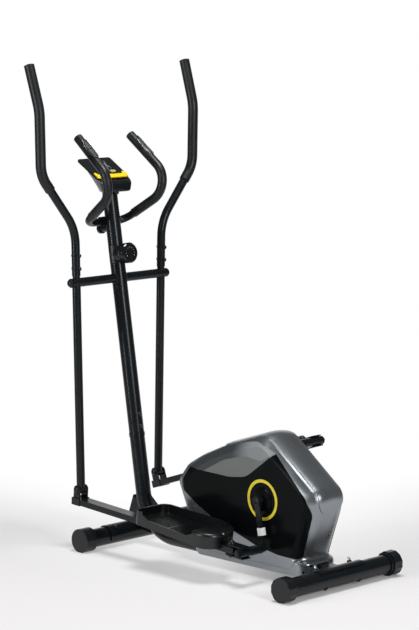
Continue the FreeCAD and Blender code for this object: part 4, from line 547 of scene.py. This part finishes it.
class TRAINER_OT_console(bpy.types.Operator):
    """The console: textured body, display window, printed lines, moulded trim and button"""

    bl_idname = "trainer.console"
    bl_label = "Console"

    def execute(self, context):
        # Moulded ABS with a fine leather grain, really 0.5 mm wide: dark, softly shining on its round edges.
        plastic = grained("grained_abs_body", finishes().moulding, 0.3, 1.2 * MM, 0.03 * MM,
                          Specular_IOR_Level=0.35)
        dress(plastic, "console_housing")
        # Polycarbonate window over a liquid crystal, with slow waves as wide as the real ones: glossy and
        # nearly black, faintly green.
        window = grained("display_window", linear("#141a18"), 0.12, 6 * MM, 0.01 * MM)
        dress(window, "console_lens")
        self.make_print()
        self.make_trim()
        self.make_body(plastic)
        # Silicone rubber key with a worn champagne coat: dull gold, rubbed unevenly. Its dimples are really
        # 0.5 mm wide.
        dress(grained("coated_silicone_key", linear("#b7a468"), 0.42, 3 * MM, 0.01 * MM), "mode_button")
        return {"FINISHED"}

    @staticmethod
    def make_print():
        """Three printed bars on the console's face, as thin plates."""
        # Ink printed through a screen whose mesh is really 0.1 mm wide: light grey, matt and slightly raised.
        ink = grained("pale_screen_print", linear("#9aa3a8"), 0.4, 2 * MM, 0.01 * MM)
        lift, depth, edge = 0.25 * MM, 0.3 * MM, 0.1 * MM
        bars = []
        # Each bar's extent up the face, and then its extent across it.
        for low, high, start, stop in ((-0.0150, -0.0137, -0.030, 0.044), (-0.024, -0.021, 0.000, 0.024),
                                       (-0.030, -0.0288, -0.008, 0.036)):
            outline = rounded_box((start, low), (stop, high), 0.5 * MM, 4)
            bars.append(placed(plate(outline, lift, depth, edge), FACE_MIDDLE, FACE_UP, SIDE, FACE_OUT))
        piece("console_print", bars, ink, "frame")

    @staticmethod
    def make_trim():
        """The moulding at the foot of the console's face. Its upper edge runs level and rises to the ends as
        a smooth step of the distance from the middle, and both edges draw together at the very ends with
        its square."""
        # ABS moulded in its own colour, with flow marks as wide as the real ones: even and slightly glossy.
        plastic = grained("moulded_abs_trim", finishes().trim, 0.3, 4 * MM, 0.003 * MM, tone=0.03)
        across = np.linspace(-0.0708, 0.0660, 121)
        rise = np.clip((np.abs(across) - 0.050) / 0.010, 0, 1)
        fall = np.clip((np.abs(across) - 0.060) / 0.0108, 0, 1)
        upper = -0.040 + 0.012 * rise ** 2 * (3 - 2 * rise) - 0.010 * fall ** 2
        lower = -0.0582 + 0.010 * fall ** 2
        lift, depth, edge = 2.6 * MM, 4.4 * MM, 1.2 * MM
        grid = placed(strip(lower, upper, across, lift, depth, edge), FACE_MIDDLE, FACE_UP, SIDE, FACE_OUT)
        moulding = piece("console_trim_moulding", [grid], plastic, "frame")
        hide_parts("console_trim")

    @staticmethod
    def make_body(finish):
        """The console's body: flat on top, round at the chin, and drawn in to a block over the mast. Each
        section is a rounded box whose half width runs evenly from its low end to its high end."""
        sections = []
        # From the face down to the foot: each section's low and high end as X and Z, half its width at each,
        # and the radius of its corners.
        for low, high, low_half, high_half, corner in (
                ((0.4729, 1.2042), (0.5670, 1.2608), 0.0695, 0.0695, 0.008),
                ((0.4715, 1.2032), (0.5684, 1.2614), 0.0710, 0.0710, 0.009),
                ((0.4711, 1.2008), (0.5702, 1.2592), 0.0712, 0.0712, 0.009),
                ((0.4722, 1.1970), (0.5714, 1.2555), 0.0704, 0.0706, 0.009),
                ((0.4600, 1.1930), (0.5670, 1.2505), 0.0690, 0.0670, 0.010),
                ((0.4490, 1.1830), (0.5560, 1.2350), 0.0670, 0.0540, 0.012),
                ((0.4462, 1.1720), (0.5360, 1.2030), 0.0655, 0.0420, 0.014),
                ((0.4474, 1.1610), (0.5160, 1.1720), 0.0640, 0.0340, 0.014),
                ((0.4520, 1.1565), (0.5090, 1.1580), 0.0600, 0.0300, 0.012),
                ((0.4580, 1.1555), (0.5050, 1.1560), 0.0540, 0.0260, 0.010)):
            low, high = np.array((low[0], 0, low[1])), np.array((high[0], 0, high[1]))
            along = (high - low) / np.linalg.norm(high - low)
            reach = np.linalg.norm(high - low) / 2
            outline = rounded_box((-reach, -low_half), (reach, low_half), corner, 7)
            share = (outline[:, :1] + reach) / (2 * reach)
            outline[:, 1:] *= 1 + share * (high_half / low_half - 1)
            sections.append((low + high) / 2 + outline[:, :1] * along + outline[:, 1:] * SIDE)
        shell = piece("console_body", [lofted(sections)], finish, "frame")
        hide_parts("console_housing")
        # The stub of the console's bracket under the chin: a short upright cylinder, rounded at its foot.
        stub = MM * np.array([(0, 8.0), (8.5, 8.0), (8.5, -4.0), (8.0, -6.2), (6.4, -7.4), (3.0, -8.0),
                              (0, -8.0)])
        grid = turned(stub, (0.4560, 0, 1.1560), (0, 0, 1), 32, SIDE)
        piece("bracket_stub", [grid], finish, "frame")


class TRAINER_OT_knob(bpy.types.Operator):
    """The tension knob with its printed dial marks, and its saddle on the mast"""

    bl_idname = "trainer.knob"
    bl_label = "Tension knob"

    def execute(self, context):
        # Polished ABS, with flow marks as wide as the real ones: black, with sharp small highlights on its
        # grip ridges.
        dress(grained("polished_abs_knob", linear("#0f1213"), 0.16, 6 * MM, 0.002 * MM), "tension_knob")
        # ABS from a lightly blasted mould, whose pits are really 0.05 mm wide: black, with a soft sheen.
        dress(grained("satin_abs_saddle", finishes().moulding, 0.34, 2 * MM, 0.01 * MM), "tension_base")
        # Ink pressed on with a silicone pad, with unevenness that is really 0.2 mm wide: off-white and matt.
        ink = grained("white_pad_print", linear("#c9ced0"), 0.45, 2 * MM, 0.01 * MM)
        # The middle of the knob's face: up the mast from the cross tube, and out behind it.
        out = -MAST_FRONT
        spot = PIVOT + 78 * MM * MAST_WAY + 67.9 * MM * out
        radius, sweep, half_width = 17.5 * MM, math.radians(240), 0.5 * MM
        lift, depth, edge = 0.2 * MM, 0.4 * MM, 0.1 * MM
        marks = []
        # The marks stand on an arc of a circle, evenly spaced about its top, with every fourth one longer.
        for share in np.linspace(-0.5, 0.5, fittings().dial_ticks):
            ray = math.cos(sweep * share) * MAST_WAY + math.sin(sweep * share) * SIDE
            half = (2.0 if len(marks) % 4 == 0 else 1.3) * MM
            outline = rounded_box((-half, -half_width), (half, half_width), 0.3 * MM, 4)
            marks.append(placed(plate(outline, lift, depth, edge), spot + radius * ray, ray,
                                np.cross(out, ray), out))
        piece("dial_marks", marks, ink, "tension_knob")
        return {"FINISHED"}


class TRAINER_OT_fittings(bpy.types.Operator):
    """Bolts, bearings, drive parts and pulse sensors"""

    bl_idname = "trainer.fittings"
    bl_label = "Fittings"

    def execute(self, context):
        # Black zinc on pressed and turned steel, with tool marks that are really 0.1 mm wide: dark, with
        # brighter rounded edges.
        dress(grained("black_zinc_steel", linear("#1f2224"), 0.3, 1 * MM, 0.02 * MM, Metallic=0.6),
              "foot_bolts", "mast_bolts", "axle_caps", "crank_nuts", *both("arm_fittings", "bar_bolts"))
        # Bright zinc on turned steel, with tool marks that are really 0.2 mm wide: pale and clearly shining.
        bright = grained("bright_zinc_steel", linear("#b9bcc0"), 0.3, 3 * MM, 0.004 * MM, Metallic=1.0)
        dress(bright, "arm_axle", "crank_axle", "flywheel_axle", "crank_bearings", "magnet_bracket")
        self.make_tips(bright)
        # Turned grey iron, in grooves that are really 0.3 mm wide: dark grey metal with a dull face.
        dress(grained("turned_grey_iron", linear("#55585a"), 0.45, 1 * MM, 0.05 * MM, Metallic=0.8),
              "flywheel")
        # Moulded nylon with glass fibres, which are really 0.2 mm long: dark grey and matt.
        dress(grained("glass_filled_nylon", linear("#2c2d2e"), 0.5, 1 * MM, 0.03 * MM), "drive_pulley")
        # Ground rubber, with crumbs as wide as the real ones: black, with hardly a shine.
        dress(grained("ribbed_belt_rubber", linear("#181818"), 0.7, 1 * MM, 0.05 * MM), "drive_belt")
        # Carbon-filled conductive plastic, moulded with pits that are really 0.1 mm wide: olive grey, with a
        # dull shine.
        dress(grained("conductive_plastic_plate", linear("#3b3d36"), 0.45, 2 * MM, 0.004 * MM,
                      Specular_IOR_Level=0.3), "pulse_sensors")
        # Polished ABS, with flow marks as wide as the real ones: it catches a bright line round its raised
        # edge.
        dress(grained("polished_abs_rim", linear("#1b1e20"), 0.2, 4 * MM, 0.002 * MM), "sensor_bezels")
        self.make_rims()
        return {"FINISHED"}

    @staticmethod
    def make_rims():
        """The bead round each pulse sensor, an oval laid round the grip: along it with the cosine, and round
        it by an angle with the sine."""
        # Chrome plate on moulded ABS, with slow waves as wide as the real ones: a thin bright line where it
        # faces a lamp.
        chrome = grained("chrome_plated_bead", linear("#8e9294"), 0.25, 6 * MM, 0.002 * MM, Metallic=1.0)
        around = np.linspace(0, TURN, 120, endpoint=False)
        half_length, half_width, width, proud = 45 * MM, 13 * MM, 1.5 * MM, 2.9 * MM
        from_tip, lean = 72 * MM, 0.105  # the lean outwards is in radians
        beads = []
        for way in (1, -1):
            back, tip = HORN_BACK * (1, way, 1), HORN_TIP * (1, way, 1)
            aim = (tip - back) / np.linalg.norm(tip - back)
            up = np.array([-aim[2], 0, aim[0]])
            out = math.cos(lean) * up - way * math.sin(lean) * np.cross(aim, up)
            turn = half_width / GRIP * np.sin(around)[:, None]
            outward = np.cos(turn) * out + np.sin(turn) * np.cross(aim, out)
            along = half_length * np.cos(around)[:, None] - from_tip
            beads.append(bead(tip + along * aim + (GRIP + proud) * outward, outward, width))
        piece("sensor_rims", beads, chrome, "frame")

    @staticmethod
    def make_tips(metal):
        """Bright thread ends over the rear foot's nuts, and pan-head screws in the cover's tail and in the
        footplates' rear ends."""
        # A stud: level in radius, then drawn in over a short dome.
        stud = MM * np.array([(4.2, -6.0), (4.2, 6.0), (3.9, 7.6), (2.8, 8.8), (1.4, 9.5), (0.0, 9.7)])
        # A pan head: upright at its rim, round over the top, dished in the middle.
        pan = MM * np.array([(3.6, -1.0), (3.8, 0.8), (3.5, 1.7), (2.6, 2.2), (1.5, 2.3), (1.0, 1.5),
                             (0.0, 1.3)])
        # The left side's places, each as a spot and the way it points.
        nut = (-0.5137, 0.075, 0.0725), (0.585, 0, 0.811)
        tail = (-0.4712, 0.0375, 0.0520), (-0.98, 0.18, 0.02)
        foot = (-0.2361, 0.1951, 0.1525), (-0.75, 0, 0.66)

        def fitted(profile, place, way):
            """A profile turned at a place on the left side, or at its mirror image."""
            spot, aim = np.array(place) * (1, way, 1)
            return turned(profile, spot, aim)

        tips = [fitted(profile, place, way) for way in (1, -1)
                for profile, place in ((stud, nut), (pan, tail))]
        piece("bright_tips", tips, metal, "frame")
        for side, way in (("left", 1), ("right", -1)):
            piece(f"{side}_pedal_screw", [fitted(pan, foot, way)], metal, f"{side}_bar")


class TRAINER_OT_label(bpy.types.Operator):
    """A plain paper label round the left crank"""

    bl_idname = "trainer.label"
    bl_label = "Plain label"

    def execute(self, context):
        # Uncoated paper, whose fibres are really 0.1 mm wide: white, bright and matt.
        paper = grained("uncoated_paper", linear("#e9ebe8"), 0.85, 0.8 * MM, 0.03 * MM, tone=0.03)
        sizes = fittings()
        low, high = (np.array(corner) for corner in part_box("left_crank"))
        thickness = (high - low)[1]
        along = np.array([math.sin(CRANK_LEAN), 0, -math.cos(CRANK_LEAN)])
        across = np.array([math.cos(CRANK_LEAN), 0, math.sin(CRANK_LEAN)])
        down = 0.65 * CRANK_REACH
        spot = CRANK * (1, 0, 1) + down * along + middle("left_crank") * SIDE
        # A sleeve of paper: a round-cornered outline carried along the crank, out on the outer face and
        # back on the inner one, so that it closes on itself. Each row gives the gap to the crank in
        # millimetres, and the place along the label as a share of its length.
        rows = []
        for gap, place in ((0.25, -0.5), (0.55, -0.49), (0.55, 0.49), (0.25, 0.5), (0.1, 0.49), (0.1, -0.49),
                           (0.25, -0.5)):
            half = (sizes.label_width / 2 + gap * MM, thickness / 2 + gap * MM)
            outline = rounded_box((-half[0], -half[1]), half, 1.5 * MM, 5)
            outline = np.concatenate([outline, outline[:1]])
            rows.append(spot + outline[:, :1] * across + outline[:, 1:] * SIDE
                        + place * sizes.label_length * along)
        piece("plain_label", [np.array(rows)], paper, "crank")
        return {"FINISHED"}


# ---------------------------------------------------------------- studio

def lamp(name, spot, aim, size, power):
    """A rectangular soft box at a spot, facing a point, with its size in metres and its power in watts."""
    light = bpy.data.lights.new(name, "AREA")
    light.shape = "RECTANGLE"
    light.size, light.size_y = size
    light.energy = power
    item = bpy.data.objects.new(name, light)
    item.location = spot
    item.rotation_euler = (Vector(aim) - Vector(spot)).to_track_quat("-Z", "Y").to_euler()
    bpy.context.scene.collection.objects.link(item)


def seen(tree):
    """A socket that is one where the eye, a mirror or a window looks, and zero for light that only falls on a
    surface."""
    path = add_node(tree, "LightPath").outputs
    mirror = add_node(tree, "Math", {0: path["Is Camera Ray"], 1: path["Is Glossy Ray"]}, operation="MAXIMUM")
    return add_node(tree, "Math", {0: mirror.outputs[0], 1: path["Is Transmission Ray"]},
                    operation="MAXIMUM").outputs[0]


def floor_paper(away, aside):
    """White studio paper that takes shadows in the middle. Behind the trainer it fades into bare white, by
    how far a point lies that way less how far it lies to either side. A tenth of that white lies over the
    paper near the trainer, and to the eye the paper is bare white again from 3 m out on every side."""
    material, tree, shader = new_material("white_studio_paper", linear("#f0eeef"), 0.9,
                                          Specular_IOR_Level=0.1)
    place = add_node(tree, "TexCoord").outputs["Object"]
    behind = add_node(tree, "VectorMath", {0: place, 1: away}, operation="DOT_PRODUCT").outputs["Value"]
    beside = add_node(tree, "VectorMath", {0: place, 1: aside}, operation="DOT_PRODUCT").outputs["Value"]
    off = add_node(tree, "Math", {0: beside}, operation="ABSOLUTE").outputs[0]
    depth = add_node(tree, "Math", {0: behind, 1: off}, operation="SUBTRACT").outputs[0]
    back = add_node(tree, "MapRange", {"Value": depth, "From Min": -1.0, "From Max": 0.7},
                    interpolation_type="SMOOTHSTEP").outputs[0]
    reach = add_node(tree, "VectorMath", {0: place}, operation="LENGTH").outputs["Value"]
    near = add_node(tree, "MapRange", {"Value": reach, "From Min": 1.2, "From Max": 3.0, "To Min": 0.1,
                                       "To Max": 0.0}, interpolation_type="SMOOTHSTEP").outputs[0]
    most = add_node(tree, "Math", {0: back, 1: near}, operation="MAXIMUM").outputs[0]
    far = add_node(tree, "MapRange", {"Value": reach, "From Min": 1.1, "From Max": 3.0},
                   interpolation_type="SMOOTHSTEP").outputs[0]
    eye = add_node(tree, "LightPath").outputs["Is Camera Ray"]
    horizon = add_node(tree, "Math", {0: eye, 1: far}, operation="MULTIPLY").outputs[0]
    share = add_node(tree, "Math", {0: seen(tree), 1: most}, operation="MULTIPLY").outputs[0]
    share = add_node(tree, "Math", {0: share, 1: horizon}, operation="MAXIMUM")
    glow = add_node(tree, "Emission", {"Color": (1, 1, 1, 1), "Strength": 1.0})
    mix = add_node(tree, "MixShader", {0: share.outputs[0], 1: shader.outputs[0], 2: glow.outputs[0]})
    output = next(node for node in tree.nodes if node.type == "OUTPUT_MATERIAL")
    tree.links.new(mix.outputs[0], output.inputs["Surface"])
    return material


def studio_air(away):
    """A dim grey studio with the white backdrop in one direction, for mirrors and windows as for the eye.
    To the eye the air is white the other ways too, so that the trainer stands on white from every side."""
    world = bpy.data.worlds.new("studio")
    world.use_nodes = True
    tree = world.node_tree
    tree.nodes.clear()
    way = add_node(tree, "TexCoord").outputs["Generated"]
    facing = add_node(tree, "VectorMath", {0: way, 1: away}, operation="DOT_PRODUCT").outputs["Value"]
    backdrop = add_node(tree, "MapRange", {"Value": facing, "From Min": 0.8, "From Max": 0.93},
                        interpolation_type="SMOOTHSTEP").outputs[0]
    share = add_node(tree, "Math", {0: seen(tree), 1: backdrop}, operation="MULTIPLY").outputs[0]
    eye = add_node(tree, "LightPath").outputs["Is Camera Ray"]
    share = add_node(tree, "Math", {0: share, 1: eye}, operation="MAXIMUM").outputs[0]
    strength = add_node(tree, "MapRange", {"Value": share, "To Min": 0.13, "To Max": 1.0}).outputs[0]
    sky = add_node(tree, "Background", {"Color": (1, 1, 1, 1), "Strength": strength})
    add_node(tree, "OutputWorld", {"Surface": sky.outputs[0]})
    return world


class TRAINER_OT_stage(bpy.types.Operator):
    """Floor, studio air, lamps and camera"""

    bl_idname = "trainer.stage"
    bl_label = "Stage"

    def execute(self, context):
        scene = context.scene
        # A round floor out to the horizon, whose rings are spaced out by the fourth power of their number.
        horizon = 600
        rings = np.linspace(0, 1, 24)[:, None] ** 4 * horizon
        around = np.linspace(0, TURN, 97)[None]
        grid = np.stack([rings * np.cos(around), rings * np.sin(around), 0 * rings * around], axis=-1)
        floor = bpy.data.objects.new("floor", grid_mesh("floor", [grid]))
        scene.collection.objects.link(floor)
        view = scene.trainer_stage
        away = (math.cos(view.heading), math.sin(view.heading), 0)
        aside = (-away[1], away[0], 0)
        floor.data.materials.append(floor_paper(away, aside))
        scene.world = studio_air(away)
        lamp("overhead", (-0.4, 0.0, 3.6), (0, 0, 0.3), (1.1, 1.1), 76)
        lamp("left_box", (0.2, 4.2, 2.2), (0, 0, 0.5), (1.0, 1.6), 18)
        lamp("right_box", (-4.2, 0.7, 2.0), (0, 0, 0.8), (1.0, 2.0), 80)
        lamp("left_strip", (0.9, 3.6, 1.5), (0, 0, 0.8), (0.26, 2.6), 48)
        camera = bpy.data.cameras.new("camera")
        camera.sensor_fit = "VERTICAL"
        camera.sensor_height = 36
        camera.lens = view.lens
        eye = bpy.data.objects.new("camera", camera)
        scene.collection.objects.link(eye)
        eye.location = view.eye
        aim = Vector((math.cos(view.pitch) * math.cos(view.heading),
                      math.cos(view.pitch) * math.sin(view.heading), math.sin(view.pitch)))
        eye.rotation_mode = "QUATERNION"
        eye.rotation_quaternion = aim.to_track_quat("-Z", "Y") @ Quaternion((0, 0, 1), view.roll)
        scene.camera = eye
        scene.view_settings.view_transform = "Standard"
        return {"FINISHED"}


class TRAINER_PT_panel(bpy.types.Panel):
    """Lists the trainer's pieces"""

    bl_idname = "TRAINER_PT_panel"
    bl_label = "Trainer"
    bl_space_type = "VIEW_3D"
    bl_region_type = "UI"
    bl_category = "Trainer"

    def draw(self, context):
        scene = context.scene
        for settings in (scene.trainer_finishes, scene.trainer_fittings, scene.trainer_stage):
            column = self.layout.column()
            for name in settings.__annotations__:
                column.prop(settings, name)
        for item in PIECES:
            self.layout.operator(item.bl_idname)


PIECES = (TRAINER_OT_steelwork, TRAINER_OT_welds, TRAINER_OT_mouldings, TRAINER_OT_cover, TRAINER_OT_screws,
          TRAINER_OT_console, TRAINER_OT_knob, TRAINER_OT_fittings, TRAINER_OT_label, TRAINER_OT_stage)
SETTINGS = {"trainer_finishes": FinishSettings, "trainer_fittings": FittingSettings,
            "trainer_stage": StageSettings}
CLASSES = (*SETTINGS.values(), *PIECES, TRAINER_PT_panel)


def register():
    """Adds the classes, and their settings to the scene."""
    for item in CLASSES:
        bpy.utils.register_class(item)
    for name, settings in SETTINGS.items():
        setattr(bpy.types.Scene, name, PointerProperty(type=settings))


def unregister():
    """Removes the settings and the classes."""
    for name in SETTINGS:
        delattr(bpy.types.Scene, name)
    for item in reversed(CLASSES):
        bpy.utils.unregister_class(item)


def main():
    """Makes every piece in order."""
    register()
    for item in PIECES:
        group, name = item.bl_idname.split(".")
        getattr(getattr(bpy.ops, group), name)()


if __name__ == "__main__":
    main()
